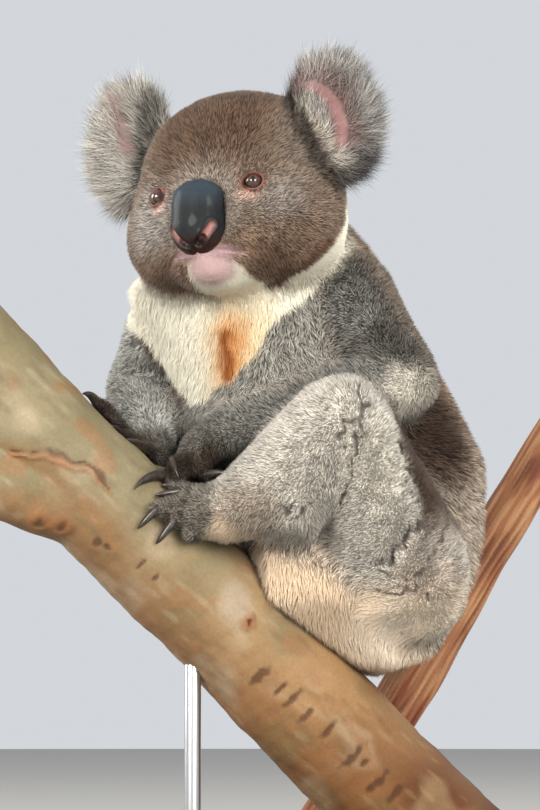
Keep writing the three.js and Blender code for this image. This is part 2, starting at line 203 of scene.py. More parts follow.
class Links:
    """The neighbours of each point of a mesh, for smoothing what its points hold."""

    def __init__(self, piece):
        pairs = np.empty(len(piece.data.edges) * 2, int)
        piece.data.edges.foreach_get("vertices", pairs)
        pairs = pairs.reshape(-1, 2)
        both = np.concatenate([pairs, pairs[:, ::-1]])
        both = both[np.argsort(both[:, 0], kind="stable")]
        self.others = both[:, 1]
        self.count = np.bincount(both[:, 0], minlength=len(piece.data.vertices))
        self.starts = np.concatenate([[0], np.cumsum(self.count)[:-1]])

    def smoothed(self, values, times, share=0.5):
        """The values after some rounds of moving towards the mean of their neighbours."""
        count = self.count.reshape((-1,) + (1,) * (values.ndim - 1))
        for _ in range(times):
            mean = np.add.reduceat(values[self.others], self.starts, axis=0) / count
            values = values + share * (mean - values)
        return values


# ------------------------------------------------------------------ materials


def linear(colour):
    """A hex sRGB colour as linear RGB."""
    channels = np.array([int(colour[i : i + 2], 16) / 255 for i in (1, 3, 5)])
    return np.where(channels <= 0.04045, channels / 12.92, ((channels + 0.055) / 1.055) ** 2.4)


def rgba(colour):
    return (*linear(colour), 1.0)


def tinted(colours, share, colour, strength=1.0):
    """The colours with a share of another laid over them."""
    share = (np.clip(share, 0, 1) * strength)[:, None]
    return colours * (1 - share) + linear(colour) * share


def painted(points, ground, *layers):
    """A ground colour at each point, with the layers laid over it in turn: share, colour and strength."""
    colours = np.tile(linear(ground), (len(points), 1))
    for layer in layers:
        colours = tinted(colours, *layer)
    return colours


def add(material, kind, values=(), links=(), stops=(), **settings):
    """Adds a shader node with its settings, its inputs' values and links, and the stops of a colour ramp."""
    made = material.node_tree.nodes.new("ShaderNode" + kind)
    for name, value in settings.items():
        setattr(made, name, value)
    for name, value in dict(values).items():
        made.inputs[name].default_value = value
    for name, socket in dict(links).items():
        material.node_tree.links.new(socket, made.inputs[name])
    for i, (position, colour) in enumerate(stops):
        elements = made.color_ramp.elements
        element = elements[i] if i < 2 else elements.new(position)
        element.position = position
        element.color = rgba(colour)
    return made


def new_material(name, **values):
    """A material and its Principled shader; an underscore in a value's name stands for a space."""
    material = bpy.data.materials.new(name)
    material.use_nodes = True
    surface = material.node_tree.nodes["Principled BSDF"]
    for socket, value in values.items():
        surface.inputs[socket.replace("_", " ")].default_value = value
    return material, surface


def feed(material, surface, **sockets):
    for name, socket in sockets.items():
        material.node_tree.links.new(socket, surface.inputs[name.replace("_", " ")])


def object_place(material, scale=(1, 1, 1), turn=(0, 0, 0)):
    """Object coordinates, turned and stretched."""
    place = add(material, "TexCoord").outputs["Object"]
    values = {"Scale": scale, "Rotation": turn}
    return add(material, "Mapping", values, {"Vector": place}).outputs["Vector"]


def koala_wool():
    """Woolly hair: matt, with a faint sheen along the edges of the locks."""
    shine = {"Specular_IOR_Level": 0.08, "Sheen_Weight": 0.04, "Sheen_Roughness": 0.6}
    material, surface = new_material("koala wool", Roughness=0.8, IOR=1.55, **shine)
    tone = add(material, "Attribute", attribute_name="coat_colour")
    feed(material, surface, Base_Color=tone.outputs["Color"])
    return material


def felt_and_bare_skin():
    """The under-wool on the skin, matt and grained at 2 mm, and the skin that shows through it."""
    material, surface = new_material("felted under-wool", Roughness=0.78, IOR=1.45, Specular_IOR_Level=0.1)
    tone = add(material, "Attribute", attribute_name="coat_colour")
    grain = add(material, "TexNoise", {"Scale": 520, "Detail": 3}, {"Vector": object_place(material)})
    layers = {"Color1": tone.outputs["Color"], "Color2": grain.outputs["Fac"]}
    shade = add(material, "MixRGB", {"Fac": 0.35}, layers, blend_type="MULTIPLY")
    bump = add(material, "Bump", {"Strength": 0.4, "Distance": 0.4 * MM}, {"Height": grain.outputs["Fac"]})
    feed(material, surface, Base_Color=shade.outputs["Color"], Normal=bump.outputs["Normal"])
    return material


# ------------------------------------------------------------------ the skin: one surface for all the flesh

VOXEL = 2.6  # how fine the skin is, in millimetres
GAP_CLOSED_BY = 0.7  # how far each solid grows to meet the next one, in millimetres
RISE = 0.62  # how much of a hair's length stands off the skin
# How long the coat is on each part, in millimetres.
HAIR = {"head": 4.5, "neck": 11, "trunk": 9, "ear": 12, "upper": 6.5, "forearm": 5.5, "hand": 4}
HAIR |= {"thigh": 5.5, "shank": 5.5, "foot": 4}
EAR_MIDDLE = np.array([74.0, -1, 38])
EAR_SKIN = np.array([0.80, 0.62, 0.80])  # the ear without its fringe: across, through and up

# The opening between the lids: how far it reaches outwards, inwards and up from the gaze, in millimetres.
OPENING_OUTWARDS, OPENING_INWARDS, OPENING_HEIGHT = 5.3, 6.8, 4.8
LID_RADIUS = 9.2  # of the ball that the lids lie on
LID_WIDTH = 8.4  # from the gaze; beyond it the lids slope down into the face
MOUTH = [(-34, -50, -58), (-18, -74, -55), (2, -82, -56), (18, -74, -55), (34, -58, -58)]
# Where the right side of the neck is smoothed further, because three solids meet there.
RUFF = ((-74, -64, 472), (30, 30, 30), 0.5)
ROUNDS, RUFF_ROUNDS = 26, 60  # of smoothing
# The fold between the thigh and the flank behind it, and its depth and half its width in millimetres.
FOLD = [(144, -27, 364), (146, -20, 347), (147, -14, 336), (148, -9, 323)]
FOLD += [(149, -11, 306), (144, -18, 295), (134, -26, 280), (126, -29, 276)]
FOLD_DEPTH, FOLD_WIDTH = 4, 4

eye_centres = {side: EYE_IN_HEAD * [side, 1, 1] for side in SIDES.values()}
gaze = {side: unit(np.array([0.36 * side, -0.89, 0.285])) for side in SIDES.values()}


def body_solids():
    """Copies of the flesh nodes, grown until they meet, the ears without their fringe."""
    pieces = []
    for node in FLESH:
        piece = copy_of(node, "flesh_" + node)
        if node.startswith("ear"):
            middle = EAR_MIDDLE * [SIDES[node[4:]], 1, 1]
            local = middle + (in_head(points_of(piece)) - middle) * EAR_SKIN
            move_points(piece, out_of_head(local))
        finish_with(piece, "DISPLACE", strength=GAP_CLOSED_BY * MM, mid_level=0)
        pieces.append(piece)
    return pieces


def nearest_solid(solids):
    """A search tree over the solids' faces, and which solid each face is of."""
    corners, faces, owner = [], [], []
    for i, solid in enumerate(solids):
        first = len(corners)
        corners += [v.co[:] for v in solid.data.vertices]
        faces += [[first + k for k in p.vertices] for p in solid.data.polygons]
        owner += [i] * len(solid.data.polygons)
    return BVHTree.FromPolygons(corners, faces), np.array(owner)


def refine(piece, middle, radius, cuts):
    """Divides the faces within a ball of the head, for details finer than the skin's own mesh."""
    mesh = bmesh.new()
    mesh.from_mesh(piece.data)
    places = in_head(np.array([v.co[:] for v in mesh.verts]) / MM)
    near = np.linalg.norm(places - middle, axis=1) < radius
    edges = [e for e in mesh.edges if near[e.verts[0].index] and near[e.verts[1].index]]
    bmesh.ops.subdivide_edges(mesh, edges=edges, cuts=cuts, use_grid_fill=True)
    bmesh.ops.triangulate(mesh, faces=[f for f in mesh.faces if len(f.verts) > 4])
    mesh.to_mesh(piece.data)
    mesh.free()


def round_eye(local, side):
    """Each point's height over the eye's middle, its distance from the gaze, and its place in the opening.

    The opening is an almond, and 1 along the edge of the lids. The last value is how high the point lies.
    """
    out = gaze[side]
    across = unit(np.array([side, 0, 0]) - out * out[0] * side)
    up = np.cross(across, out) * -side
    offset = local - eye_centres[side]
    height, a, b = offset @ out, offset @ across, offset @ up
    width = np.where(a > 0, OPENING_OUTWARDS, OPENING_INWARDS)
    opening = np.hypot(a / width, (b - 0.25 * np.minimum(a, 0)) / OPENING_HEIGHT)
    return height, np.hypot(a, b), opening, b


def shape_eyelids(local):
    """Raises the skin round each eye into lids that lie on the eyeball, and opens them."""
    for side in SIDES.values():
        height, from_axis, opening, b = round_eye(local, side)
        front = (height > -4) & (from_axis < 16)
        on_ball = np.sqrt(LID_RADIUS**2 - np.minimum(from_axis, LID_WIDTH) ** 2)
        lid = on_ball - 0.3 * np.maximum(from_axis - LID_WIDTH, 0)
        target = height + (1 - smooth_step(7, 14, from_axis)) * (lid - height)
        target += 0.5 * np.exp(-(((opening - 1.15) / 0.13) ** 2))  # the rim of the lids
        target -= 0.8 * np.exp(-(((opening - 1.8) / 0.16) ** 2)) * (b > 0)  # the crease of the upper lid
        behind_eye = np.sqrt(np.maximum(EYE_RADIUS**2 - from_axis**2, 0)) - 2.5
        open_share = 1 - smooth_step(0.90, 1.02, opening)
        target = target + open_share * (behind_eye - target)
        local = local + np.where(front, target - height, 0)[:, None] * gaze[side]
    return local


def shape_mouth(local, normals):
    """The closed mouth: a shallow groove below the nose, out to the corners."""
    groove = np.exp(-((from_path(local, MOUTH) / 2.2) ** 2))
    return local - normals * (1.6 * groove)[:, None]


def part_shares(skin, tree, owner, links):
    """How much of each flesh node a point of the skin belongs to, blended across the joins."""
    found = [tree.find_nearest(p)[2] for p in (points_of(skin) * MM).tolist()]
    nearest = owner[np.array(found)]
    return nearest, links.smoothed(np.eye(len(FLESH))[nearest], 14)


def share_of(shares, *names):
    """How much of the flesh nodes whose names start so each point belongs to."""
    return shares @ np.array([float(n.startswith(names)) for n in FLESH])


def surface_tree(points, triangles):
    return BVHTree.FromPolygons((points * MM).tolist(), triangles.tolist())


def on_skin(path, tree):
    """The path in steps of about 5 mm, moved onto the skin."""
    path = np.array(path, float)
    steps = []
    for a, b in zip(path[:-1], path[1:]):
        count = max(1, round(np.linalg.norm(b - a) / 5))
        steps += [a + (b - a) * k / count for k in range(count)]
    steps.append(path[-1])
    return np.array([tree.find_nearest(step * MM)[0] for step in steps]) / MM


def hair_length(local, shares):
    """The coat's length over the skin, in millimetres: shortest round the nose, the eyes and the mouth."""
    length = shares @ np.array([HAIR[n.split("_")[0]] for n in FLESH])
    length = length * (1 - 0.55 * blob(local, *HEAD_PATCHES["short_hair"]))
    for side in SIDES.values():
        length = length * (1 - 0.6 * blob(local, eye_centres[side], (14, 14, 14), 0.4))
    return length


def settled(skin, links, shares):
    """The skin's points without the steps between the solids, smoothed least on hands, feet and ears."""
    firm = share_of(shares, "hand", "foot", "ear_")[:, None]
    points = points_of(skin)
    for _ in range(ROUNDS):
        points = points + (1 - 0.8 * firm) * (links.smoothed(points, 1) - points)
    ruff = blob(points, *RUFF)[:, None]
    for _ in range(RUFF_ROUNDS):
        points = points + ruff * (links.smoothed(points, 1) - points)
    return points


def make_skin():
    """One closed skin round all the flesh, inside the solids by the coat's depth."""
    solids = body_solids()
    tree, owner = nearest_solid(solids)
    skin = joined(solids, "skin")
    finish_with(skin, "REMESH", mode="VOXEL", voxel_size=VOXEL * MM)
    for side in SIDES.values():
        refine(skin, eye_centres[side] + 4 * gaze[side], 17, 3)
    refine(skin, np.array([2, -72, -60]), 34, 1)
    links = Links(skin)
    nearest, shares = part_shares(skin, tree, owner, links)
    points = settled(skin, links, shares)
    move_points(skin, points)
    length = hair_length(in_head(points), shares)
    depth = length * RISE * (1 - 0.85 * share_of(shares, "ear"))
    inward = unit(links.smoothed(normals_of(skin), 4))
    points = links.smoothed(points - inward * depth[:, None], 3)
    fold = on_skin(FOLD, surface_tree(points, triangles_of(skin)[0]))
    groove = np.exp(-((from_path(points, fold) / FOLD_WIDTH) ** 2))
    points = points - inward * (FOLD_DEPTH * groove)[:, None]
    move_points(skin, points)
    local = shape_eyelids(in_head(points))
    local = shape_mouth(local, normals_of(skin) @ head_axes.T)
    move_points(skin, out_of_head(local))
    smooth_shaded(skin)
    return skin, links, nearest, shares, length


# ------------------------------------------------------------------ the markings of skin and coat

# sRGB colours of the coat, by part.
GROUND = {"head": "#6b5b4e", "neck": "#84776b", "trunk": "#a09284", "ear": "#85827e"}
# The arms' dark greys here are the shaded copy; the right arm is painted paler further on as painted light.
GROUND |= {"upper": "#54514c", "forearm": "#66645f", "hand": "#5f5b54"}
GROUND |= {"thigh": "#aea99f", "shank": "#b0aaa0", "foot": "#655f57"}
CREAM = "#e4decb"
CHEST_GREY = "#8b877f"

# Patches of the coat: a middle, the reach each way and the softness of the border, in the model's axes ...
PATCHES = {
    # The flank under the arm is darkened with painted shade.
    "flank": ((124, 36, 380), (36, 42, 46), 0.45),
    "hip": ((148, 4, 268), (26, 34, 30), 0.6),
    "hip_cracks": ((143, -6, 275), (22, 34, 26), 0.4),
    "knee_cracks": ((126, -72, 362), (18, 20, 46), 0.4),
    "shin": ((66, -106, 312), (26, 26, 22), 0.5),
    "outer_thigh": ((142, -49, 348), (18, 24, 34), 0.7),
    # The seat's cream is partly pale fur and partly painted light over the shade under the body.
    "seat": ((114, 6, 228), (36, 32, 24), 0.7),
    # The elbow and the shoulder are painted paler on top as painted light.
    "elbow": ((142, -10, 399), (21, 26, 22), 0.5),
    "shoulder": ((90, -24, 470), (24, 28, 28), 0.5),
}
# ... and in the head's own axes.
HEAD_PATCHES = {
    "muzzle": ((1, -78, -20), (34, 26, 34), 0.5),
    "right_cheek": ((-46, -58, -28), (22, 26, 30), 0.5),
    "left_cheek": ((52, -44, -20), (18, 26, 16), 0.6),
    "chin": ((8, -73, -67), (17, 16, 12), 0.35),
    "bare_chin": ((8, -74, -66), (13, 14, 8.5), 0.3),
    "seat_of_nose": ((1, -78, -28), (19, 20, 27), 0.1),
    "short_hair": ((1, -84, -30), (34, 30, 40), 0.5),
    "lobe": ((98, -6, 3), (15, 20, 15), 0.4),
}
claw_places = [centre(n) for n in nodes if n.startswith("claw_")]

# Where the wool cracks open on the folded leg, the haunch and the right arm, in millimetres.
CRACKS = [
    [(120, -51, 412), (137, -62, 390), (138, -65, 375), (135, -66, 362), (128, -63, 341), (111, -56, 316)],
    [(137, -62, 390), (139, -53, 390)],
    [(135, -66, 364), (141, -59, 368)],
    [(138, -65, 376), (133, -73, 376), (126, -77, 365)],
    [(134, -68, 366), (128, -69, 354)],
    [(88, -95, 317), (93, -91, 313), (98, -89, 321)],
    [(94, -87, 307), (102, -83, 313), (107, -79, 321)],
    [(131, 47, 326), (150, 18, 304), (151, 6, 292), (149, -2, 277), (139, -11, 267), (124, -27, 271)],
    [(142, -4, 262), (133, -15, 257), (116, -23, 258)],
    [(-106, -43, 432), (-91, -49, 433), (-78, -48, 430), (-73, -42, 426), (-58, -54, 420), (-47, -59, 415)],
    [(-106, -47, 449), (-88, -57, 448), (-70, -63, 446)],
    [(-93, -63, 405), (-83, -64, 409), (-70, -60, 412)],
    [(-101, -46, 425), (-93, -42, 428)],
]
# The brown hair of the right arm along the bib, darkened with painted shade where the arm meets the chest.
ARM_RIM = [(-74, -62, 457), (-66, -62, 444), (-63, -60, 434), (-56, -56, 422), (-38, -62, 408)]
# The line of the scent gland down the chest.
GLAND = [(17, -73, 450), (17, -73, 438), (18, -72, 427), (19, -72, 408)]


def line_share(points, path, radius, softness=0.5):
    """What band gives, worked out only near the path."""
    share = np.zeros(len(points))
    low, high = path.min(axis=0) - 2 * radius, path.max(axis=0) + 2 * radius
    near = ((points > low) & (points < high)).all(axis=1)
    share[near] = band(points[near], path, radius, softness)
    return share


def creases(points):
    """Where the wool cracks open in long lines about 3 mm wide, or is only parted in short ones."""
    bent = points + 1.6 * np.stack([ripple(points, 11, seed) for seed in (63, 64, 65)], axis=1)
    long_ones = line_share(bent, fold, 2.4)
    for crack in cracks:
        radius = 1.7 if crack[0, 0] > 0 else 2.2  # finer on the leg than on the arm
        long_ones = np.maximum(long_ones, line_share(bent, crack, radius))
    lines = 1 - smooth_step(0.1, 0.22, np.abs(ripple(points, 17, 61)))
    broken = smooth_step(0.2, 0.5, ripple(points, 15, 62))
    where = np.maximum(blob(points, *PATCHES["knee_cracks"]), blob(points, *PATCHES["hip_cracks"]))
    return np.maximum(lines * broken * where, long_ones)


# The lower edge of the bib: how far round the chest from its middle, and how high, in millimetres.
BIB_EDGE = [(-130, 505), (-107, 466), (-74, 452), (-62, 428), (-22, 401), (-5, 403)]
BIB_EDGE += [(38, 431), (49, 448), (64, 467), (81, 481), (96, 496), (104, 512)]
# How far back the bib reaches on the right side: x and y.
BIB_BACK = [(-95, -40), (-55, -24), (-15, 8)]
# The front edge of the collar on the left cheek, in the head's axes: z and y.
COLLAR_EDGE = [(-80, -22), (-68, -19), (-55, -15), (-24, 10), (-8, 24)]
# The back edge of the folded leg's pale outer side: z and y.
LEG_EDGE = [(276, -20), (295, -14), (306, -8), (323, -7), (336, -12), (347, -18), (364, -25)]
# The lower edge of each cheek's brown hair, over the throat and the neck.
CHEEK_EDGES = [
    [(36, -66, 485), (52, -54, 487), (78, -51, 498), (91, -43, 508)],
    [(-46, -64, 486), (-26, -72, 486), (-12, -76, 484)],
]
# In the head's axes: the dark hair between each ear and the head, and what lies in the ears.
EAR_DARK = {
    1: [(50, -12, 74), (53, -12, 51), (64, -18, 28), (72, -14, 4), (84, -9, -8)],
    -1: [(-50, -13, 80), (-55, -13, 72), (-61, -14, 58), (-67, -11, 42), (-70, -12, 25)],
}
EAR_OUTER = [(80, -9, 66), (91, -6, 57), (92, -6, 42), (93, -6, 25)]
EAR_TUFT = [(62, -11, 50), (69, -8, 36), (75, -8, 21), (82, -9, 8)]
LEFT_HOLLOW = [(59, -12, 63), (68, -10, 62), (77, -9, 57), (83, -6, 47), (86, -6, 31), (84, -7, 21)]
RIGHT_HOLLOW = [(-84, -9, 68), (-82, -7, 55), (-80, -6, 40)]


def edge_at(edge, places):
    """The second value of an edge where its first value is as given."""
    return np.interp(places, *np.array(edge, float).T)


def bib_share(points, shares):
    """The white bib: the throat and the chest between the arms, with a collar up behind the left cheek."""
    x, y, z = points.T
    round_chest = x + np.sign(x) * 0.45 * np.maximum(y + 65, 0)
    wobble = 2.5 * ripple(points, 26, 3)
    front = 1 - smooth_step(0, 14, y + wobble - edge_at(BIB_BACK, x))
    above = smooth_step(-3.5, 3.5, z - edge_at(BIB_EDGE, round_chest) + wobble)
    return above * front * share_of(shares, "neck", "trunk", "upper_arm")


def underside_share(points):
    """1 below the pale underside's border, which falls towards the back and the left."""
    x, y, z = points.T
    edge = 293 - 0.224 * (x - 56) - 0.543 * (y + 67) - z + 6 * ripple(points, 40, 5)
    return smooth_step(-10, 12, edge)


class Markings:
    """The colour of the coat at each point, and how strongly dark and pale hairs are mixed there.

    The order of the tints matters, as each one lies over those before it.
    """

    def __init__(self, points, shares):
        self.points, self.local, self.shares = points, in_head(points), shares
        self.colours = shares @ np.array([linear(GROUND[n.split("_")[0]]) for n in FLESH])
        self.fleck = np.ones(len(points))

    def part(self, *names):
        return share_of(self.shares, *names)

    def patch(self, name):
        if name in HEAD_PATCHES:
            return blob(self.local, *HEAD_PATCHES[name])
        return blob(self.points, *PATCHES[name])

    def tint(self, share, colour, strength=1.0):
        self.colours = tinted(self.colours, share, colour, strength)

    def calm(self, share, strength):
        """Takes a part of the flecks away."""
        self.fleck = self.fleck * (1 - strength * share)


def mark_body(coat):
    """The back and flanks are brown, the rump paler, the chest and arms grey, the legs pale grey; painted
    shade darkens the flank under the arm, the right arm's rim by the bib and the fold behind the thigh, and
    painted light makes the right arm and the low haunch paler.
    """
    points = coat.points
    _, y, z = points.T
    trunk, left_leg = coat.part("trunk", "neck"), coat.part("thigh_left", "shank_left")
    coat.tint(trunk * (1 - smooth_step(-20, 10, y)) * smooth_step(330, 380, z), CHEST_GREY)
    brown_back = smooth_step(320, 410, z + 14 * ripple(points, 60, 8)) * smooth_step(-30, 10, y)
    coat.tint(trunk * brown_back, "#6d5a4b")
    # Painted shade: the flank under the arm is painted near black.
    coat.tint(trunk * coat.patch("flank"), "#2f2017", 0.94)
    coat.tint(coat.part("upper") * smooth_step(-10, 25, y), "#75685c", 0.8)
    coat.tint(trunk * (1 - smooth_step(250, 330, z)), "#c9b7a3", 0.7)
    # Painted light: the right arm is painted a paler grey than the left arm, a lit and a shaded copy of one
    # grey.
    coat.tint(coat.part("upper_arm_right", "forearm_right"), "#a5a49d", 0.9)
    # The right arm's rim by the bib: brown hair with painted shade where the arm meets the chest.
    coat.tint(band(points, ARM_RIM, 9, 0.6) * (1 - coat.part("head")), "#47382d", 0.85)
    # Painted shade: the back of the folded thigh, by the fold, is painted dark, darkest deep in the fold.
    behind = smooth_step(0, 5, y - edge_at(LEG_EDGE, z)) * smooth_step(286, 312, z) * left_leg
    coat.tint(behind, "#85776b", 0.85)
    coat.tint(behind * smooth_step(290, 325, z), "#35261b", 0.92)
    coat.tint(left_leg * coat.patch("hip"), "#9d9186", 0.7)
    coat.tint(left_leg * coat.patch("shin"), "#8c7f71", 0.8)
    # Painted light: the low haunch and rump are painted paler, partly pale fur and partly light over their
    # shade.
    haunch = coat.part("thigh", "shank") + trunk * (1 - smooth_step(10, 60, y))
    coat.tint(haunch * smooth_step(288, 242, z) * smooth_step(-34, -4, y), "#d0beaa", 0.9)
    coat.tint(left_leg * coat.patch("outer_thigh"), "#c6c0b4", 0.8)


def mark_head(coat):
    """The crown is brown, the muzzle and the temples are grey, and the fur beside the chin is dark brown."""
    x, y, z = coat.local.T
    head = coat.part("head")
    coat.tint(head * smooth_step(-14, 36, z) * (1 - smooth_step(28, 62, np.abs(x))), "#524033")
    coat.tint(head * smooth_step(38, 68, np.abs(x)) * smooth_step(-20, 20, z), "#625b53", 0.7)
    coat.tint(head * coat.patch("muzzle"), "#817971", 0.8)
    coat.tint(head * coat.patch("right_cheek"), "#8a847e", 0.85)
    coat.tint(head * coat.patch("left_cheek"), "#77706a", 0.7)
    coat.tint(head * smooth_step(20, 45, y), "#6e5f53", 0.8)
    low = smooth_step(-34, -56, z + 4 * ripple(coat.local, 25, 9)) * (1 - smooth_step(-10, 30, y))
    coat.tint(head * low, "#786150", 0.7)
    for side in SIDES.values():
        coat.tint(blob(coat.local, (38 * side + 4, -44, -66), (14, 26, 15), 0.5), "#604c3e", 0.85)


def mark_bib(coat):
    """The throat, chest and collar are cream under the cheeks' brown edge. Gives the cream's share."""
    points, local = coat.points, coat.local
    x, y, z = local.T
    half_width = 17.5 + 1.6 * ripple(local, 9, 13)
    throat = smooth_step(-58, -66, z + 1.5 * ripple(local, 14, 12)) * coat.part("head", "neck")
    throat = throat * (1 - smooth_step(-2, 2, np.abs(x - 7) - half_width))
    collar = smooth_step(-2, 2, y - edge_at(COLLAR_EDGE, z) - 1.5 * ripple(local, 12, 14))
    collar = collar * smooth_step(-10, -26, z) * (1 - smooth_step(26, 44, y))
    collar = collar * smooth_step(30, 45, x) * coat.part("head")
    bib = np.maximum(bib_share(points, coat.shares), np.maximum(throat, collar))
    wavy = points + 1.2 * ripple(points, 12, 4)[:, None]
    for cheek in CHEEK_EDGES:
        bib = bib * (1 - band(wavy, cheek, 4, 0.3))
        coat.tint(band(points, cheek, 5.5, 0.3), "#5d4435", 0.9)
    coat.tint(bib, CREAM)
    coat.calm(bib, 0.85)
    return bib


def mark_gland(coat, bib):
    """The scent gland stains the bib, from straw at the border to rust along its line."""
    bent = coat.points + 1.2 * ripple(coat.points, 15, 11)[:, None]
    for offset, radius, colour, strength in (
        ([10, 4, 0], 24, "#d9bf90", 0.8),
        ([3, 2, 2], 12, "#c38347", 0.85),
        ([0, 0, 0], 4.4, "#84441a", 0.9),
    ):
        coat.tint(line_share(bent, gland + offset, radius, 0.9) * bib, colour, strength)


def mark_mouth(coat):
    """The chin and the lips are bare and pink."""
    chin = coat.patch("chin")
    coat.tint(chin, "#a88b8b", 0.95)
    beside = smooth_step(16, 28, np.abs(coat.local[:, 0] - 4))
    lips = band(coat.local, MOUTH, 3.5, 0.5) * (1 - beside)
    coat.tint(lips, "#a98c8e", 0.8)
    coat.calm(np.maximum(chin, lips), 0.85)


def mark_underside(coat, bib):
    """The underside is pale, the seat paler still with painted light over its shade, the elbow and shoulder
    have painted light on top, and parted wool is painted dark with the shade in its partings. Gives the
    underside's share.
    """
    raised = coat.points + coat.part("shank")[:, None] * [0, 0, 9]
    below = underside_share(raised) * coat.part("trunk", "thigh", "shank")
    seat = coat.patch("seat") * coat.part("trunk", "thigh")
    elbow = coat.patch("elbow") * coat.part("forearm", "upper")
    # Painted light: the seat's cream lifts its shade and the elbow's pale grey lights its top; the
    # underside's cream is its fur.
    for share, colour, strength, calmed in (
        (below, "#d3bca0", 0.95, 0.85),
        (seat, "#fbead5", 0.85, 0.6),
        (elbow, "#bfb8ab", 0.85, 0.5),
    ):
        coat.tint(share, colour, strength)
        coat.calm(share, calmed)
    # Painted light: the top of the shoulder is painted paler.
    shoulder = coat.patch("shoulder") * coat.part("upper", "neck", "trunk")
    coat.tint(shoulder * (1 - bib), "#7d7c77", 0.5)
    fainter = 1 - 0.35 * coat.part("upper_arm_right", "forearm_right")
    # Painted shade: the cracks and the fold in the wool are painted dark.
    coat.tint(creases(coat.points) * fainter, "#2c2420", 0.85)
    return below


def mark_paws(coat):
    """The hands are dark towards the claws, the right foot all over, and the left foot is streaked."""
    points = coat.points
    from_claws = np.min([from_path(points, [middle, middle + 1]) for middle in claw_places], axis=0)
    coat.tint(coat.part("hand") * (1 - smooth_step(18, 32, from_claws)), "#33291f", 0.9)
    coat.tint(coat.part("foot_right"), "#352a24", 0.95)
    streak = smooth_step(0.1, 0.7, ripple(points, 9, 15)) * (1 - smooth_step(14, 24, from_claws))
    coat.tint(coat.part("foot_left") * streak, "#3d352e", 0.85)


def mark_ears(coat):
    """The ears have a dark band by the head, a pink hollow, a cream tuft and a pale fringe."""
    local = coat.local
    x, y, _ = local.T
    ear = coat.part("ear")
    coat.tint(ear * (x < 0) * (1 - smooth_step(-6, 4, y)), "#9b968d", 0.8)
    coat.tint(ear * smooth_step(-2, 8, y), "#7d756c", 0.8)
    dark = np.maximum(band(local, EAR_DARK[1], 8, 0.5), band(local, EAR_DARK[-1], 9, 0.5))
    broken = 0.8 + 0.2 * np.clip(ripple(local, 6, 18), -1, 1)
    coat.tint(dark * broken, "#171310", 0.94)
    coat.tint(ear * band(local, EAR_OUTER, 6, 0.6) * broken, "#4b3c33", 0.75)
    coat.tint(ear * coat.patch("lobe") * broken, "#231d19", 0.9)
    coat.tint(ear * band(local, EAR_TUFT, 5, 0.6) * broken, "#a8a195", 0.9)
    hollows = ear_hollow(local) * ear
    coat.tint(hollows * np.where(x > 0, 1.0, 0.65), "#886563", 0.95)
    coat.calm(hollows, 0.8)
    coat.fleck = coat.fleck * (1 + 0.25 * ear)


def mark_lids(coat):
    """The lids have dark wet edges in pinkish bare skin."""
    for side in SIDES.values():
        height, _, opening, _ = round_eye(coat.local, side)
        below_eye = blob(coat.local, eye_centres[side] + [-4 * side, -5, -9], (9, 10, 4.5), 0.5)
        coat.tint(below_eye, "#bb9a8e", 0.6)
        coat.tint((1 - smooth_step(1.5, 1.9, opening)) * (height > 0), "#835a4e", 0.8)
        coat.tint((1 - smooth_step(1.1, 1.35, opening)) * (height > 0), "#3c231d", 0.9)


def coat_colours(points, shares):
    """The colour of the coat at each point, and how strongly it is flecked there."""
    coat = Markings(points, shares)
    mark_body(coat)
    mark_head(coat)
    bib = mark_bib(coat)
    mark_gland(coat, bib)
    mark_mouth(coat)
    below = mark_underside(coat, bib)
    mark_paws(coat)
    mark_ears(coat)
    patchy = 1 + 0.09 * ripple(points, 13, 16) + 0.07 * ripple(points, 34, 17)
    coat.colours = coat.colours * np.where(bib + below > 0.3, 1, patchy)[:, None]
    coat.calm(coat.part("thigh", "shank"), 0.25)
    mark_lids(coat)
    return coat.colours, coat.fleck


def ear_hollow(local):
    """The nearly bare hollow of each ear: a crescent under its upper rim."""
    return np.maximum(band(local, LEFT_HOLLOW, 7.4, 0.35), band(local, RIGHT_HOLLOW, 6.5, 0.5))


def bare_share(local, shares):
    """Where no hair grows: the lids, the nose's seat, the chin and the left ear's hollow."""
    bare = np.zeros(len(local))
    for side in SIDES.values():
        height, _, opening, _ = round_eye(local, side)
        bare = np.maximum(bare, (1 - smooth_step(1.35, 1.6, opening)) * (height > 0))
    for patch in ("seat_of_nose", "bare_chin"):
        bare = np.maximum(bare, blob(local, *HEAD_PATCHES[patch]))
    return np.maximum(bare, 0.85 * ear_hollow(local) * (local[:, 0] > 0) * share_of(shares, "ear"))


# ------------------------------------------------------------------ the lie of the coat


BEYOND = {"upper_arm": "forearm", "forearm": "hand", "thigh": "shank", "shank": "foot"}


def next_part(node):
    """Where the hair of a limb's part points: to the middle of the part beyond it, or of the claws."""
    for part, beyond in BEYOND.items():
        if node.startswith(part):
            return centre(node.replace(part, beyond))
    claws = [n for n in nodes if n.startswith("claw_" + node)]
    return np.mean([centre(n) for n in claws], axis=0)


def along_skin(vectors, normals):
    """The vectors' directions once they are laid flat on the skin."""
    return unit(vectors - (vectors * normals).sum(axis=1, keepdims=True) * normals)


def lie_of_coat(points, normals, shares, links):
    """The direction of the coat along the skin at each of its points."""
    local = in_head(points)
    lie = np.zeros_like(points)
    for i, node in enumerate(FLESH):
        if node == "head":
            way = unit(local - [0, -82, -14]) @ head_axes
        elif node.startswith("ear"):
            root = np.array([56 * SIDES[node[4:]], -4, 22])
            way = unit((local - root) * [1, 0.5, 1]) @ head_axes
        elif node in ("neck", "trunk"):
            way = np.tile(unit(np.array([0, 0.1, -1])), (len(points), 1))
        else:
            way = np.tile(unit(next_part(node) - centre(node)), (len(points), 1))
        lie += shares[:, i : i + 1] * way
    for _ in range(3):
        lie = links.smoothed(along_skin(lie, normals), 5)
    return along_skin(lie, normals)


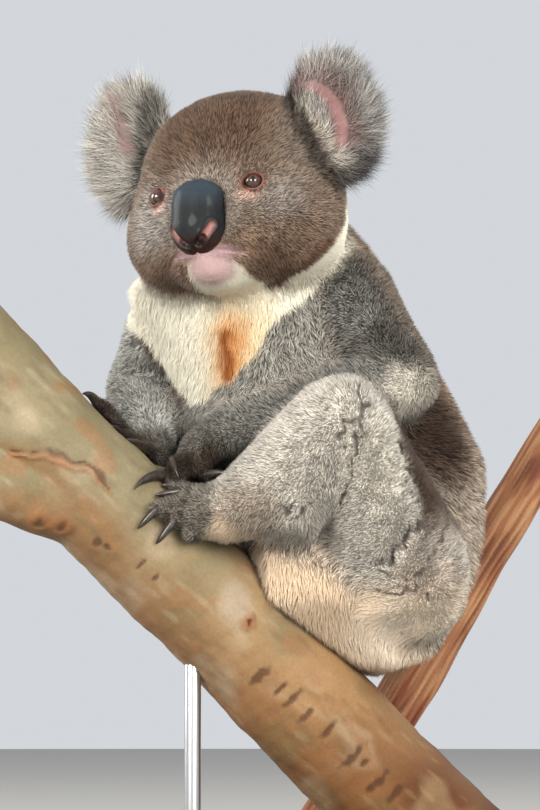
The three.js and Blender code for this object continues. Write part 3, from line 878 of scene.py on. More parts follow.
# ------------------------------------------------------------------ the coat: tufts of hair in a few pieces

# For each piece of coat: how far apart its tufts are in millimetres, and how steep in degrees.
COAT = {
    "coat_face": (0.8, 46),
    "coat_crown": (0.95, 48),
    "coat_ear_left": (0.52, 38),
    "coat_ear_right": (0.55, 38),
    "coat_chest": (0.9, 36),
    "coat_back": (1.15, 52),
    "coat_rump": (1.15, 46),
    "coat_arm_left": (0.95, 64),
    "coat_arm_right": (1.0, 62),
    "coat_leg_left": (0.86, 70),
    "coat_leg_right": (1.1, 60),
    "coat_hands": (0.85, 46),
    "coat_feet": (0.85, 46),
}
ROOT_DEPTH = 0.7  # how deep a tuft starts in the skin, in millimetres
EAR_CELL, COAT_CELL = 6.0, 3.0  # how wide the locks are whose tips lean together, in millimetres

# A tuft is a slim pyramid: its closed faces, and its layout on the map that the finish is baked to.
TUFT = np.array([(0, 2, 1), (0, 1, 3), (1, 2, 3), (2, 0, 3)])
TUFT_MAP = np.array([(0, 0), (1, 0), (0.5, 0.4), (0.5, 1)]) * 0.003


def piece_of_coat(nearest, points):
    """The piece of coat that each place on the skin belongs to."""
    names = np.array(FLESH)[nearest]
    local = in_head(points)
    piece = np.full(len(points), "coat_back", dtype="U20")
    front = points[:, 1] < 5 + 0.1 * points[:, 0]
    trunk = np.isin(names, ["trunk", "neck"])
    piece[trunk & front & (points[:, 2] > 330)] = "coat_chest"
    piece[trunk & (points[:, 2] <= 330)] = "coat_rump"
    piece[names == "head"] = "coat_crown"
    piece[(names == "head") & (local[:, 1] < -12)] = "coat_face"
    for side in SIDES:
        piece[names == "ear_" + side] = "coat_ear_" + side
        piece[np.isin(names, ["upper_arm_" + side, "forearm_" + side])] = "coat_arm_" + side
        piece[np.isin(names, ["thigh_" + side, "shank_" + side])] = "coat_leg_" + side
        piece[names == "hand_" + side] = "coat_hands"
        piece[names == "foot_" + side] = "coat_feet"
    return piece


def unwrapped(skin):
    """Unwraps the skin's own shape and gives the map's coordinates of each corner."""
    edit_all(skin)
    bpy.ops.uv.smart_project(angle_limit=math.radians(66), island_margin=0.002)
    leave_edit()
    layer = skin.data.uv_layers.active
    layer.name = "SkinMap"
    flat = np.empty(len(skin.data.loops) * 2)
    layer.uv.foreach_get("vector", flat)
    return flat.reshape(-1, 2)


def triangles_of(piece):
    """The corners' points and loops of the piece's triangles."""
    piece.data.calc_loop_triangles()
    count = len(piece.data.loop_triangles)
    corners = np.empty(count * 3, int)
    loops = np.empty(count * 3, int)
    piece.data.loop_triangles.foreach_get("vertices", corners)
    piece.data.loop_triangles.foreach_get("loops", loops)
    return corners.reshape(-1, 3), loops.reshape(-1, 3)


def cell_of(places, size):
    """A number for the cell that each place is in, on an even grid far less than 4001 cells wide."""
    cell = np.floor(places / size).astype(np.int64)
    return (cell[:, 0] * 4001 + cell[:, 1]) * 4001 + cell[:, 2]


def scattered(points, corners, chosen, spacing):
    """Even random places on the chosen triangles: one in each cell of a grid that the skin passes."""
    a, b, c = (points[corners[chosen, k]] for k in range(3))
    area = np.linalg.norm(np.cross(b - a, c - a), axis=1) / 2
    count = int(area.sum() / spacing**2 * 4)
    reach = np.cumsum(area)
    hit = np.minimum(np.searchsorted(reach, rng.random(count) * reach[-1]), len(chosen) - 1)
    u, v = rng.random(count), rng.random(count)
    over = u + v > 1
    u[over], v[over] = 1 - u[over], 1 - v[over]
    weights = np.stack([1 - u - v, u, v], axis=1)
    places = (points[corners[chosen[hit]]] * weights[:, :, None]).sum(axis=1)
    first = rng.permutation(np.unique(cell_of(places, spacing * 1.12), return_index=True)[1])
    return chosen[hit[first]], weights[first]


def tuft_points(root, out, along, length, width, lift):
    """Four points for each tuft: a ring in the skin and the tip."""
    side = np.cross(along, out)
    way = np.cos(lift)[:, None] * along + np.sin(lift)[:, None] * out
    points = np.empty((len(root), 4, 3))
    for k in range(3):
        angle = 2 * np.pi * k / 3
        spoke = side * np.cos(angle) + along * np.sin(angle)
        points[:, k] = root - ROOT_DEPTH * out + (width / 2)[:, None] * spoke
    points[:, 3] = root + way * length[:, None]
    return points


def gathered(tips, roots, cell_size, share):
    """Pulls the tips of neighbouring locks together, as wool does."""
    key = np.unique(cell_of(roots, cell_size), return_inverse=True)[1]
    total = np.stack([np.bincount(key, tips[:, k]) for k in range(3)], axis=1)
    mean = total / np.bincount(key)[:, None]
    return tips + share * (mean[key] - tips)


def coat_mesh(name, points, out, colours, places):
    """One mesh of closed tufts, shaded with the skin's roundness, with their colours and map."""
    count, size = points.shape[:2]
    faces = (np.arange(count)[:, None, None] * size + TUFT).reshape(-1, 3)
    mesh = bpy.data.meshes.new(name)
    mesh.vertices.add(count * size)
    mesh.vertices.foreach_set("co", (points * MM).ravel())
    mesh.loops.add(faces.size)
    mesh.loops.foreach_set("vertex_index", faces.ravel())
    mesh.polygons.add(len(faces))
    mesh.polygons.foreach_set("loop_start", np.arange(0, faces.size, 3))
    mesh.update(calc_edges=True)
    piece = bpy.data.objects.new(name, mesh)
    bpy.context.scene.collection.objects.link(piece)
    set_colours(piece, "coat_colour", colours.reshape(-1, 3))
    layer = mesh.uv_layers.new(name="OFBake")
    spread = places[:, None, :] + TUFT_MAP
    layer.uv.foreach_set("vector", spread.reshape(-1, 2)[faces.ravel()].ravel())
    smooth_shaded(piece)
    own = unit(points - points.mean(axis=1, keepdims=True))
    normals = unit(out[:, None, :] + 0.45 * own).reshape(-1, 3)
    mesh.normals_split_custom_set_from_vertices(normals.tolist())
    return piece


def hair_tones(count, mixing):
    """Dark, middling and pale tufts, mixed as strongly as the coat is flecked."""
    kind = rng.random(count)
    tone = np.where(kind < 0.34, rng.uniform(0.2, 0.5, count), rng.uniform(0.8, 1.1, count))
    tone = np.where(kind > 0.66, rng.uniform(1.35, 1.85, count), tone)
    return 1 + (tone - 1) * mixing


def combed(root, size, split, mixing, spacing, steepness):
    """How long, wide and steep each tuft is, and how far it turns from the lie of the coat."""
    count, plain = len(root), 1 - mixing
    size = size * rng.uniform(0.75, 1.25, count) * (1 - 0.4 * split)
    uneven = rng.normal(0, 1, count) * (8 - 4 * plain)
    lift = steepness * (1 - 0.45 * plain) + 6 * mixing * ripple(root, 17, 21) + uneven
    lift = np.radians(np.clip(lift, 10, 85))
    size = size * np.minimum(1, 0.75 / np.sin(lift))
    wander = 0.3 * ripple(root, 23, 31) + 0.25 * ripple(root, 9, 41)
    looseness = 0.3 + 0.018 * max(0, steepness - 46)
    wander = (wander + rng.normal(0, looseness, count)) * (1 - 0.6 * plain)
    width = spacing * rng.uniform(0.8, 1.15, count)
    return size, width, lift, wander


def fringed(root, size, width, lift, wander):
    """The same for the ears, whose hair grows longer and looser towards the rim, with a few long wisps."""
    count = len(root)
    x, _, z = in_head(root).T
    rim = smooth_step(14, 30, np.hypot((np.abs(x) - EAR_MIDDLE[0]) * 1.2, z - EAR_MIDDLE[2]))
    wisps = np.where(rng.random(count) < 0.2, 1.45, 1.0)
    size = size * (1 + 0.8 * rim * wisps) * rng.uniform(0.6, 1.2, count)
    lift = np.maximum(lift * (1 - 0.3 * rim) + rng.normal(0, 0.12, count), 0.15)
    wander = wander + rng.normal(0, 0.25, count)
    return size, width * (1.15 - 0.3 * rim), lift, wander


def make_coat(skin, nearest, shares, length, lie, material):
    """Grows the coat piece by piece on the skin, with the skin's own markings."""
    map_places = unwrapped(skin)
    corners, loops = triangles_of(skin)
    points, normals = points_of(skin), normals_of(skin)
    group = piece_of_coat(nearest[corners[:, 0]], points[corners].mean(axis=1))
    for name, (spacing, steepness) in COAT.items():
        triangle, weights = scattered(points, corners, np.flatnonzero(group == name), spacing)

        def at_root(values):
            picked = values[corners[triangle]]
            return (picked * weights.reshape(weights.shape + (1,) * (values.ndim - 1))).sum(axis=1)

        root = at_root(points)
        bare = np.maximum(bare_share(in_head(root), at_root(shares)), 0.9 * creases(root))
        keep = bare < rng.uniform(0.25, 0.75, len(triangle))
        triangle, weights = triangle[keep], weights[keep]
        root = at_root(points)
        base, mixing = coat_colours(root, at_root(shares))
        long_hair = name.startswith("coat_ear")
        shape = combed(root, at_root(length), creases(root), mixing, spacing, steepness)
        if long_hair:
            shape = fringed(root, *shape)
        size, width, lift, wander = shape
        out, along = unit(at_root(normals)), unit(at_root(lie))
        side = np.cross(along, out)
        along = unit(along * np.cos(wander)[:, None] + side * np.sin(wander)[:, None])
        made = tuft_points(root, out, along_skin(along, out), size, width, lift)
        made[:, -1] = gathered(made[:, -1], root, EAR_CELL if long_hair else COAT_CELL, 0.3)
        tones = hair_tones(len(root), mixing)
        # Darker roots and paler tips: partly the hair's banding, partly painted shade deep in the coat.
        root_shade_and_banding = 1 + np.outer(0.3 + 0.7 * mixing, [-0.15, -0.15, -0.15, 0.12])  # darker roots, paler tips
        tone = base[:, None, :] * (tones[:, None] * root_shade_and_banding)[:, :, None]
        places = (map_places[loops[triangle]] * weights[:, :, None]).sum(axis=1)
        piece = coat_mesh(name, made, out, np.clip(tone, 0, 0.95), places)
        piece.data.materials.append(material)
        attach(piece, "root")


# ------------------------------------------------------------------ the nose, the eyes and the claws

# Each nostril in the head's axes: its opening by the cleft, painted dark with the shade inside it, and its
# pink wing out and up from it.
NOSTRIL_HOLE = [(5, -86, -51), (9, -87, -48)]
NOSTRIL_WING = [(9, -87, -48), (13, -86, -43), (15, -84, -39)]


def bare_nose_leather():
    """Bare rhinarium: blue-black pebbled skin, 0.8 mm to the pebble, moist enough to shine softly; the paler
    blue on its top is a painted reflection.
    """
    shine = {"Specular_IOR_Level": 0.14, "Coat_Weight": 0.1, "Coat_Roughness": 0.12}
    material, surface = new_material("pebbled nose leather", Roughness=0.5, IOR=1.4, **shine)
    tone = add(material, "Attribute", attribute_name="coat_colour")
    pebbles = add(material, "TexVoronoi", {"Scale": 1250}, {"Vector": object_place(material)})
    layers = {"Color1": tone.outputs["Color"], "Color2": pebbles.outputs["Distance"]}
    shade = add(material, "MixRGB", {"Fac": 0.25}, layers, blend_type="OVERLAY")
    height = {"Height": pebbles.outputs["Distance"]}
    bump = add(material, "Bump", {"Strength": 0.35, "Distance": 0.25 * MM}, height)
    feed(material, surface, Base_Color=shade.outputs["Color"], Normal=bump.outputs["Normal"])
    return material


def make_nose():
    """The nose from its solid, with nostrils, their rims and the cleft below them."""
    nose = copy_of("nose", "nose_leather")
    finish_with(nose, "REMESH", mode="VOXEL", voxel_size=0.9 * MM)
    links = Links(nose)
    local = in_head(links.smoothed(points_of(nose), 14))
    low, high = smooth_step(-8, -38, local[:, 2]), smooth_step(-22, 2, local[:, 2])
    local[:, 0] = 1 + (local[:, 0] - 1) * (1.02 + 0.02 * low + 0.1 * high)
    local[:, 2] = -14 + (local[:, 2] + 14) * (1.03 + 0.1 * low)
    move_points(nose, out_of_head(local))
    normals = normals_of(nose) @ head_axes.T
    x, y, z = local.T
    sides = np.stack([np.abs(x - 1), y, z], axis=1)
    hole = band(sides, NOSTRIL_HOLE, 3.0, 0.4)
    wing = band(sides, NOSTRIL_WING, 2.7, 0.5)
    rim = np.clip(band(sides, NOSTRIL_HOLE[:1] + NOSTRIL_WING, 5.4, 0.3) - np.maximum(hole, wing), 0, 1)
    cleft = np.exp(-((x - 1) ** 2) / 1.6) * smooth_step(-47, -52, z)
    depth = np.maximum(4.5 * hole, 2.4 * wing)
    local = local - normals * (depth + 1.6 * cleft - 0.5 * rim)[:, None]
    move_points(nose, out_of_head(local))
    # Painted shade: the inside of each nostril's opening is painted dark.
    nostril_shade = hole * smooth_step(-0.4, 0.6, 1 - ripple(local, 5, 51))
    colours = painted(
        local,
        "#17191b",
        # Painted reflection: the top of the nose is painted bluish as if it mirrored the sky.
        (smooth_step(-30, -8, z), "#2a333b", 0.9),
        (smooth_step(-40, -52, z), "#2a1914", 0.9),
        (rim, "#120d0c", 0.7),
        (wing, "#8f6660", 0.9),
        (nostril_shade, "#1a0e0c", 0.9),
    )
    set_colours(nose, "coat_colour", colours)
    smooth_shaded(nose)
    nose.data.materials.append(bare_nose_leather())
    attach(nose, "root")
    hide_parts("nose")


def wet_eye():
    """A living eye: brown iris round an upright pupil, under a clear wet cornea."""
    shine = {"Roughness": 0.06, "Coat_Weight": 1.0, "Coat_Roughness": 0.02}
    material, surface = new_material("wet cornea over a brown iris", IOR=1.376, **shine)
    tone = add(material, "Attribute", attribute_name="coat_colour")
    feed(material, surface, Base_Color=tone.outputs["Color"])
    return material


def make_eyes():
    """Each eyeball is a ball with a bulging cornea, an iris streaked outwards and an upright oval pupil."""
    material = wet_eye()
    for name, side in SIDES.items():
        low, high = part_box("eye_" + name)
        middle = (low + high) / 2
        bpy.ops.object.select_all(action="DESELECT")
        radius = EYE_RADIUS * MM
        bpy.ops.mesh.primitive_uv_sphere_add(segments=96, ring_count=64, radius=radius, location=middle)
        eye = bpy.context.object
        eye.name = "eyeball_" + name
        bpy.ops.object.transform_apply(location=True, rotation=True, scale=True)
        local = in_head(points_of(eye)) - eye_centres[side]
        out = gaze[side]
        up = unit(np.array([0, 0, 1]) - out * out[2])
        across = np.cross(up, out)
        height, a, b = local @ out, local @ across, local @ up
        front, from_axis, turn = height > 0, np.hypot(a, b), np.arctan2(b, a)
        bulge = 0.9 * (1 - smooth_step(1.5, 5.2, from_axis)) * front
        move_points(eye, out_of_head(local + eye_centres[side] + bulge[:, None] * out))
        iris = (1 - smooth_step(4.3, 5.2, from_axis)) * front
        streaks = 0.5 + 0.5 * np.sin(turn * 34 + 2 * np.sin(turn * 5))
        streaks = iris * streaks * (1 - smooth_step(2.4, 4.4, from_axis))
        pupil = (1 - smooth_step(0.9, 1.15, np.hypot(a / 1.25, b / 2.9))) * front
        layers = [(iris, "#2f170d"), (streaks, "#5a331b", 0.8), (pupil, "#060405")]
        colours = painted(local, "#1a0d0a", *layers)
        set_colours(eye, "coat_colour", colours)
        smooth_shaded(eye)
        eye.data.materials.append(material)
        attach(eye, "root")
        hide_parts("eye_" + name)


# A claw's radius at its root and its tip in millimetres, and its width for each unit of its depth.
CLAW_RADIUS, CLAW_TIP, CLAW_FLATNESS = 3.9, 0.15, 0.78


def claw_horn():
    """Keratin: black-brown and polished by bark, finely ridged along the claw."""
    material, surface = new_material("polished claw horn", Roughness=0.3, IOR=1.55)
    place = object_place(material)
    grain = add(material, "TexNoise", {"Scale": 260, "Detail": 4}, {"Vector": place})
    colours = [(0.3, "#17140f"), (0.7, "#3a3029")]
    tone = add(material, "ValToRGB", links={"Fac": grain.outputs["Fac"]}, stops=colours)
    bump = add(material, "Bump", {"Strength": 0.2, "Distance": 0.2 * MM}, {"Height": grain.outputs["Fac"]})
    feed(material, surface, Base_Color=tone.outputs["Color"], Normal=bump.outputs["Normal"])
    return material


def claw_line(node):
    """A claw's root, its middle and its tip, from its CAD node."""
    points = points_of(nodes[node])
    middle = points.mean(axis=0)
    axis = np.linalg.svd(points - middle, full_matrices=False)[2][0]
    along = (points - middle) @ axis
    one_end, other_end = along > np.quantile(along, 0.7), along < np.quantile(along, 0.3)
    if np.ptp(points[one_end], axis=0).sum() > np.ptp(points[other_end], axis=0).sum():
        along = -along  # the root is the thicker end
    root = points[along < along.min() + 0.3 * np.ptp(along)].mean(axis=0)
    tip = points[np.argmax(along)]
    waist = points[np.abs(along - along.mean()) < 0.28 * np.ptp(along)]
    bend = waist.mean(axis=0) if len(waist) else middle
    return root, bend, tip


def make_claws():
    """Each claw is a slim curved horn, narrower than it is deep."""
    material = claw_horn()
    rings, sides = 22, 18
    for node in [n for n in nodes if n.startswith("claw_")]:
        root, bend, tip = claw_line(node)
        paw = centre(node.removeprefix("claw_").rsplit("_", 1)[0])
        root = root - 2.5 * unit(bend - root) + 2.5 * unit(paw - root)
        bend = bend + 0.25 * (2 * bend - root - tip)
        t = np.linspace(0, 1, rings)[:, None]
        line = (1 - t) ** 2 * root + 2 * t * (1 - t) * bend + t**2 * tip
        way = unit(np.gradient(line, axis=0))
        flat = unit(np.cross(way, unit(2 * bend - root - tip) + 1e-3))
        deep = np.cross(flat, way)
        radius = (CLAW_RADIUS * (1 - t**1.7) + CLAW_TIP)[:, :, None]
        turn = np.linspace(0, 2 * np.pi, sides, endpoint=False)[None, :, None]
        spokes = CLAW_FLATNESS * flat[:, None] * np.cos(turn) + deep[:, None] * np.sin(turn)
        points = line[:, None] + radius * spokes
        faces = []
        for first in range(0, (rings - 1) * sides, sides):
            for k in range(sides):
                here, after = first + k, first + (k + 1) % sides
                faces.append((here, after, after + sides, here + sides))
        faces += [tuple(range(sides))[::-1], tuple(range((rings - 1) * sides, rings * sides))]
        mesh = bpy.data.meshes.new(node.replace("claw", "horn"))
        mesh.from_pydata((points.reshape(-1, 3) * MM).tolist(), [], faces)
        claw = bpy.data.objects.new(mesh.name, mesh)
        bpy.context.scene.collection.objects.link(claw)
        edit_all(claw)
        bpy.ops.mesh.normals_make_consistent(inside=False)
        leave_edit()
        smooth_shaded(claw)
        claw.data.materials.append(material)
        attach(claw, "root")
        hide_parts(node)


# ------------------------------------------------------------------ the tree

# The branches as round cones: two ends and their radii, in millimetres.
LIMB_LOW, LIMB_FORK = (94, 118, 57), (-34, -135, 319)
LIMB_CONES = [
    (LIMB_LOW, LIMB_FORK, 46, 43),
    (LIMB_FORK, (-98, -244, 456), 38, 33),
    (LIMB_FORK, (-84, -256, 344), 34, 20),
]
STEM_CONES = [((-21, 84, 81), (116, 228, 411), 21, 17)]
# The raised bark where the two arms of the fork press together.
BARK_RIDGE = [(-52, -216, 356), (-43, -209, 356), (-33, -202, 355)]
BARK_RIDGE += [(-25, -192, 349), (-14, -179, 341), (-5, -167, 328)]
# The dark scars: their middles, and how far they reach round the limb and along it.
SCARS = [((-43, -200, 308), 5, 4), ((-34, -187, 304), 5, 4), ((-18, -169, 291), 4, 3.5)]
SCARS += [((-12, -164, 288), 3, 3.5), ((3, -145, 277), 6, 1.6), ((8, -135, 268), 4, 2)]
SCARS += [((44, -64, 199), 10, 4), ((54, -51, 191), 8, 1.8), ((57, -43, 183), 11, 2.6)]
SCARS += [((62, -33, 172), 9, 2.4), ((71, -20, 161), 9, 2.8), ((79, -2, 142), 12, 3)]
SCARS += [((85, 5, 138), 5, 2.2), ((88, 15, 124), 11, 3), ((96, 26, 116), 10, 3.4)]
KNOT = (43, -77, 237)
KNOT_HALO = (37, -85, 251)  # the middle of the pale bark above the knot


def cone_field(points, cones):
    """How far each point is outside the round cones, blended over a few millimetres where they meet."""
    field = None
    for low, high, low_radius, high_radius in cones:
        low, high = np.array(low, float), np.array(high, float)
        t = np.clip((points - low) @ (high - low) / ((high - low) @ (high - low)), -0.2, 1.2)
        away = np.linalg.norm(points - low - t[:, None] * (high - low), axis=1)
        away = away - low_radius - t * (high_radius - low_radius)
        if field is None:
            field = away
        else:
            share = np.clip(0.5 + (away - field) / 6, 0, 1)
            field = away + (field - away) * share - 3 * share * (1 - share)
    return field


def onto_cones(points, cones):
    """The nearest points of the cones' surface, and the way out of it."""
    for _ in range(4):
        field = cone_field(points, cones)
        steps = [cone_field(points + 0.2 * step, cones) - field for step in np.eye(3)]
        out = unit(np.stack(steps, axis=1))
        points = points - out * field[:, None]
    return points, out


def scar_share(points, middle, around, along, axis, out):
    """1 inside an oval scar that lies on the bark, soft at its border."""
    offset = points - np.array(middle, float)
    round_limb = unit(np.cross(axis, out))
    reach = np.hypot((offset @ axis) / along, (offset * round_limb).sum(axis=1) / around)
    near = np.linalg.norm(offset, axis=1) < 3 * around
    return (1 - smooth_step(0.55, 1.25, reach + 0.25 * ripple(points, 5, 71))) * near


def limb_ground(points, out, axis, down):
    """The layers of the limb's colour, grey-green above and red-brown below, and its broad bumps."""
    cloud, patch = ripple(points, 70, 81), ripple(points, 28, 82)
    crest = smooth_step(0.55, 0.95, out[:, 2]) * smooth_step(-0.05, 0.2, down)
    stretched = points - 0.6 * (points @ axis)[:, None] * axis
    mottle = ripple(stretched, 15, 88) + 0.7 * ripple(stretched, 7, 89)
    mottle *= 0.5 + 0.5 * smooth_step(-0.5, 0.5, ripple(points, 60, 80))
    layers = [
        (smooth_step(0.0, 0.55, down + 0.1 * cloud), "#8d6f4d"),
        (smooth_step(0.45, 0.95, down + 0.1 * cloud), "#543012"),
        (smooth_step(0.1, -0.75, out[:, 2] + 0.2 * cloud), "#795332", 0.7),
        (smooth_step(0.3, 1.2, cloud + 0.4 * patch), "#95866f", 0.55),
        (smooth_step(0.2, 1.1, 0.5 * patch - cloud), "#645c40", 0.45),
        (smooth_step(0.5, 1.1, patch - 0.3 * cloud), "#825a3a", 0.45),
        (crest, "#5c4f3a", 0.6),
        (smooth_step(0.5, 1.5, mottle), "#9a8e74", 0.25),
        (smooth_step(0.5, 1.5, -mottle), "#5b4c34", 0.3),
    ]
    height = 1.4 * ripple(points, 120, 83) + 0.6 * ripple(points, 42, 84) + 0.22 * ripple(points, 13, 85)
    return layers, height


def limb_bark(points, out):
    """The colour of the limb's bark and the height of its ridge, its knot and its scars."""
    low, fork = np.array(LIMB_LOW, float), np.array(LIMB_FORK, float)
    axis = unit(low - fork)
    down = np.clip((points - fork) @ axis / np.linalg.norm(low - fork), -0.5, 1)
    layers, height = limb_ground(points, out, axis, down)

    seam = onto_cones(np.array(BARK_RIDGE, float), LIMB_CONES)[0]
    bent = points + 1.6 * ripple(points, 13, 87)[:, None]
    ridge, above = band(bent, seam, 1.9, 0.6), band(bent, seam + [0, 0, 3.2], 1.5, 0.6)
    # The ridge's pale band is partly the bark's colour and partly a painted highlight on its top edge; the
    # dark band above it is painted shade in the crack.
    layers += [(ridge * (0.7 + 0.3 * ripple(points, 6, 86)), "#8a5b3d", 0.7), (above, "#4b3322", 0.75)]
    height += 1.3 * ridge - 1.2 * above
    for middle, around, along in SCARS:
        scar = scar_share(points, middle, around, along, axis, out)
        layers.append((scar, "#4a311f", 0.85))
        height -= 0.5 * scar

    bent = points + 1.5 * np.stack([ripple(points, 7, seed) for seed in (93, 94, 95)], axis=1)
    ring, heart = blob(bent, KNOT, (6, 6, 6), 0.45), blob(bent, KNOT, (2.6, 2.6, 2.6), 0.4)
    layers.append((blob(points, KNOT_HALO, (12, 12, 15), 0.5), "#928676", 0.6))
    layers += [(ring, "#764a2e", 0.7), (heart, "#561c0f", 0.9)]
    height += 1.6 * ring - 2.4 * heart
    for middle, *_ in SCARS[:2]:
        wart = blob(points, middle, (9, 9, 9), 0.4)
        layers.append((wart * (1 - blob(points, middle, (4, 4, 4), 0.4)), "#7b5131", 0.7))
        height += 1.8 * wart
    warmth = smooth_step(0.25, 0.9, down)[:, None] * [0.3, 0.45, 0.62]
    return painted(points, "#736950", *layers) * (1 - warmth), height


def stem_bark(points, out):
    """The colour and the height of the second stem's bark, which peels in long strips."""
    low, high = (np.array(end, float) for end in STEM_CONES[0][:2])
    axis = unit(high - low)
    along = (points - low) @ axis
    strips = points + (0.12 * along - along)[:, None] * axis
    grain, wide, fine = ripple(strips, 9, 91), ripple(strips, 24, 92), ripple(strips, 4.5, 96)
    layers = [
        (smooth_step(0.0, 1.0, wide), "#753c27", 0.9),
        (smooth_step(0.2, 1.1, grain), "#a37b57", 0.7),
        (smooth_step(0.4, 1.2, -grain), "#4c2619", 0.7),
        (smooth_step(0.2, 1.2, fine), "#b08a66", 0.35),
        (smooth_step(0.2, 1.2, -fine), "#50291b", 0.45),
    ]
    return painted(points, "#845639", *layers), 0.7 * grain + 0.9 * wide + 0.25 * fine


def smooth_gum_bark(name, scale):
    """Thin living bark: matt and dry, with fine cracks and dust at about a millimetre."""
    material, surface = new_material(name, Roughness=0.75, IOR=1.45, Specular_IOR_Level=0.3)
    tone = add(material, "Attribute", attribute_name="bark_colour")
    settings = {"Scale": scale, "Detail": 6, "Roughness": 0.7}
    fine = add(material, "TexNoise", settings, {"Vector": object_place(material)})
    layers = {"Color1": tone.outputs["Color"], "Color2": fine.outputs["Fac"]}
    shade = add(material, "MixRGB", {"Fac": 0.3}, layers, blend_type="OVERLAY")
    bump = add(material, "Bump", {"Strength": 0.45, "Distance": 0.6 * MM}, {"Height": fine.outputs["Fac"]})
    feed(material, surface, Base_Color=shade.outputs["Color"], Normal=bump.outputs["Normal"])
    return material


def sawn_gum_wood():
    """Sawn and sanded gum wood, with fine grain across the cut."""
    material, surface = new_material("sanded gum end grain", Roughness=0.6, IOR=1.5)
    turn = Vector(unit(np.array(LIMB_FORK, float) - LIMB_LOW)).to_track_quat("Z", "Y").inverted().to_euler()
    place = object_place(material, turn=turn)
    settings = {"Scale": 55, "Distortion": 3, "Detail": 3}
    rings = add(material, "TexWave", settings, {"Vector": place}, wave_type="RINGS", rings_direction="Z")
    colours = [(0.0, "#8f6b4c"), (0.6, "#a58160"), (1.0, "#ae8d6c")]
    tone = add(material, "ValToRGB", links={"Fac": rings.outputs["Fac"]}, stops=colours)
    feed(material, surface, Base_Color=tone.outputs["Color"])
    return material


def make_branch(node, cones, bark, material, sawn, voxel):
    """A round branch with its bark's relief, sawn flat at its ends."""
    branch = copy_of(node, node.replace("perch", "gum"))
    finish_with(branch, "REMESH", mode="VOXEL", voxel_size=voxel * MM)
    links = Links(branch)
    points = points_of(branch)
    made, out = onto_cones(points, cones)
    colours, height = bark(made, out)
    made = made + links.smoothed(out, 2) * height[:, None]
    flat = np.zeros(len(points), bool)
    for low, high, *_ in cones:
        for end, other in ((low, high), (high, low)):
            if end == LIMB_FORK:
                continue
            place, normal = np.array(end, float), unit(np.array(end, float) - other)
            beyond = (points - place) @ normal
            made -= np.maximum((made - place) @ normal, 0)[:, None] * normal
            cap = beyond > -0.6 * voxel
            inner = cap & (cone_field(points, cones) < -1.5)
            made[inner] = points[inner] - (beyond[inner])[:, None] * normal
            flat |= cap
    move_points(branch, made)
    set_colours(branch, "bark_colour", colours)
    branch.data.materials.append(material)
    branch.data.materials.append(sawn)
    for face in branch.data.polygons:
        if all(flat[i] for i in face.vertices):
            face.material_index = 1
    smooth_shaded(branch)
    pick(branch)
    bpy.ops.object.shade_smooth_by_angle(angle=math.radians(50))
    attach(branch, "root")
    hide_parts(node)
    return branch


# ------------------------------------------------------------------ the stand


def stained_hardwood():
    """A turned hardwood disc, stained dark and lacquered, with grain about 2 mm apart."""
    lacquer = {"Coat_Weight": 0.2, "Coat_Roughness": 0.3}
    material, surface = new_material("dark stained hardwood", Roughness=0.35, IOR=1.5, **lacquer)
    place = object_place(material, scale=(12, 160, 160))
    grain = add(material, "TexNoise", {"Scale": 1, "Detail": 6, "Roughness": 0.6}, {"Vector": place})
    colours = [(0.3, "#23150d"), (0.55, "#3d2617"), (0.75, "#5a3a24")]
    tone = add(material, "ValToRGB", links={"Fac": grain.outputs["Fac"]}, stops=colours)
    bump = add(material, "Bump", {"Strength": 0.15, "Distance": 0.2 * MM}, {"Height": grain.outputs["Fac"]})
    feed(material, surface, Base_Color=tone.outputs["Color"], Normal=bump.outputs["Normal"])
    return material


def satin_steel():
    """Stainless rod, brushed along its length, with a satin shine."""
    finish = {"Metallic": 1.0, "Roughness": 0.3, "Base_Color": rgba("#b9babd")}
    material, surface = new_material("satin stainless steel", **finish)
    place = object_place(material, scale=(900, 900, 20))
    brushing = add(material, "TexNoise", {"Scale": 1, "Detail": 3}, {"Vector": place})
    height = {"Height": brushing.outputs["Fac"]}
    bump = add(material, "Bump", {"Strength": 0.15, "Distance": 0.05 * MM}, height)
    feed(material, surface, Normal=bump.outputs["Normal"])
    return material


def turned(name, middle, radius, low, high, edge):
    """A turned disc or rod with rounded edges."""
    bpy.ops.object.select_all(action="DESELECT")
    place = (middle[0], middle[1], (low + high) / 2)
    bpy.ops.mesh.primitive_cylinder_add(vertices=128, radius=radius, depth=high - low, location=place)
    piece = bpy.context.object
    piece.name = name
    bpy.ops.object.transform_apply(location=True, rotation=True, scale=True)
    finish_with(piece, "BEVEL", width=edge, segments=4, limit_method="ANGLE")
    bpy.ops.object.shade_smooth_by_angle(angle=math.radians(35))
    return piece


def make_stand():
    low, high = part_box("stand_base")
    base = turned("stand_disc", (0, 0), (high.x - low.x) / 2, low.z, high.z, 3 * MM)
    base.data.materials.append(stained_hardwood())
    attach(base, "root")
    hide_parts("stand_base")
    steel = satin_steel()
    for node in ("stand_rod_1", "stand_rod_2"):
        rod_low, rod_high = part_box(node)
        middle = (rod_low + rod_high) / 2
        radius = (rod_high.x - rod_low.x) / 2
        rod = turned(node + "_steel", middle, radius, high.z - MM, rod_high.z, 0.5 * MM)
        collar = turned(node + "_collar", middle, radius * 2.4, high.z, high.z + 7 * MM, 1.5 * MM)
        rod = joined([rod, collar], node + "_steel")
        rod.data.materials.append(steel)
        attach(rod, "root")
        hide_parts(node)


# ------------------------------------------------------------------ the stage


# Round soft lights: the place, the diameter in metres and the power in watts.
LIGHTS = {
    "key_light": ((0.3, -4.0, 1.75), 2.2, 210),
    "fill_light": ((4.2, -1.5, 1.75), 3.0, 290),
    "side_light": ((-3.6, -1.5, 1.6), 2.4, 108),
    "rim_light": ((1.3, 3.3, 2.8), 1.8, 101),
}
MODEL_MIDDLE = (0, 0, 0.4)


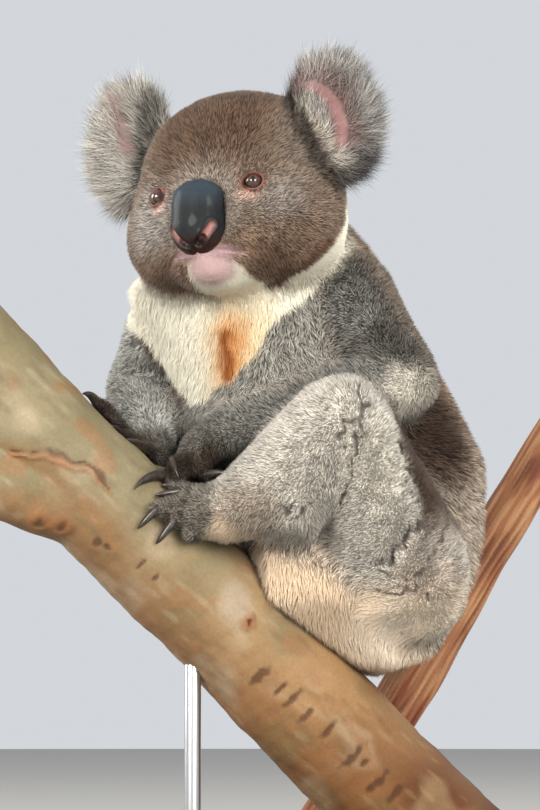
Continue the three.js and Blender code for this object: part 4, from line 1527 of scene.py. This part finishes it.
def make_stage():
    """A matt floor, an even sky and four warm studio lights."""
    bpy.ops.object.select_all(action="DESELECT")
    bpy.ops.mesh.primitive_circle_add(vertices=96, radius=8, fill_type="NGON")
    floor = bpy.context.object
    floor.name = "studio_floor"
    matt = new_material("matt studio floor", Roughness=0.9, Base_Color=rgba("#a3a19d"))[0]
    floor.data.materials.append(matt)

    world = bpy.data.worlds.new("studio")
    bpy.context.scene.world = world
    world.use_nodes = True
    sky = world.node_tree.nodes["Background"].inputs
    sky["Color"].default_value = rgba("#dfe3e8")
    sky["Strength"].default_value = 0.88

    for name, (place, size, power) in LIGHTS.items():
        lamp = bpy.data.lights.new(name, "AREA")
        lamp.shape = "DISK"
        lamp.size = size
        lamp.energy = power
        lamp.color = (1.0, 0.97, 0.92)
        light = bpy.data.objects.new(name, lamp)
        bpy.context.scene.collection.objects.link(light)
        light.location = place
        to_model = Vector(MODEL_MIDDLE) - light.location
        light.rotation_euler = to_model.to_track_quat("-Z", "Y").to_euler()


def make_camera():
    """Looks at the middle of the model from its front left, a little from below."""
    azimuth, elevation, distance = math.radians(40), math.radians(-5), 2.4
    target = Vector(MODEL_MIDDLE)
    back = Vector((math.sin(azimuth), -math.cos(azimuth), 0)) * math.cos(elevation)
    back.z = math.sin(elevation)
    lens = bpy.data.cameras.new("camera")
    lens.sensor_width = 36
    lens.lens = 144.1
    camera = bpy.data.objects.new("camera", lens)
    bpy.context.scene.collection.objects.link(camera)
    camera.location = target + back * distance
    camera.rotation_euler = back.to_track_quat("Z", "Y").to_euler()
    bpy.context.scene.camera = camera
    bpy.context.scene.view_settings.view_transform = "Standard"


# ------------------------------------------------------------------ putting it together

make_camera()
make_stage()
make_stand()
sawn = sawn_gum_wood()
grey_bark, red_bark = smooth_gum_bark("smooth gum bark", 420), smooth_gum_bark("weathered red bark", 600)
limb = make_branch("perch_limb", LIMB_CONES, limb_bark, grey_bark, sawn, 1.8)
stem = make_branch("perch_stem", STEM_CONES, stem_bark, red_bark, sawn, 1.5)
make_nose()
make_eyes()
make_claws()

skin, links, nearest, shares, length = make_skin()
skin_points, skin_normals = points_of(skin), normals_of(skin)
# The lines of the markings lie on the finished skin.
skin_tree = surface_tree(skin_points, triangles_of(skin)[0])
cracks = [on_skin(crack, skin_tree) for crack in CRACKS]
fold, gland = on_skin(FOLD, skin_tree), on_skin(GLAND, skin_tree)
lie = lie_of_coat(skin_points, skin_normals, shares, links)
colours, mixing = coat_colours(skin_points, shares)
bare = bare_share(in_head(skin_points), shares)
shade = 1 - 0.4 * mixing * (1 - smooth_step(0.3, 0.6, bare))
set_colours(skin, "coat_colour", colours * shade[:, None])
skin.data.materials.append(felt_and_bare_skin())
make_coat(skin, nearest, shares, length, lie, koala_wool())
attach(skin, "root")
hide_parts(*FLESH)
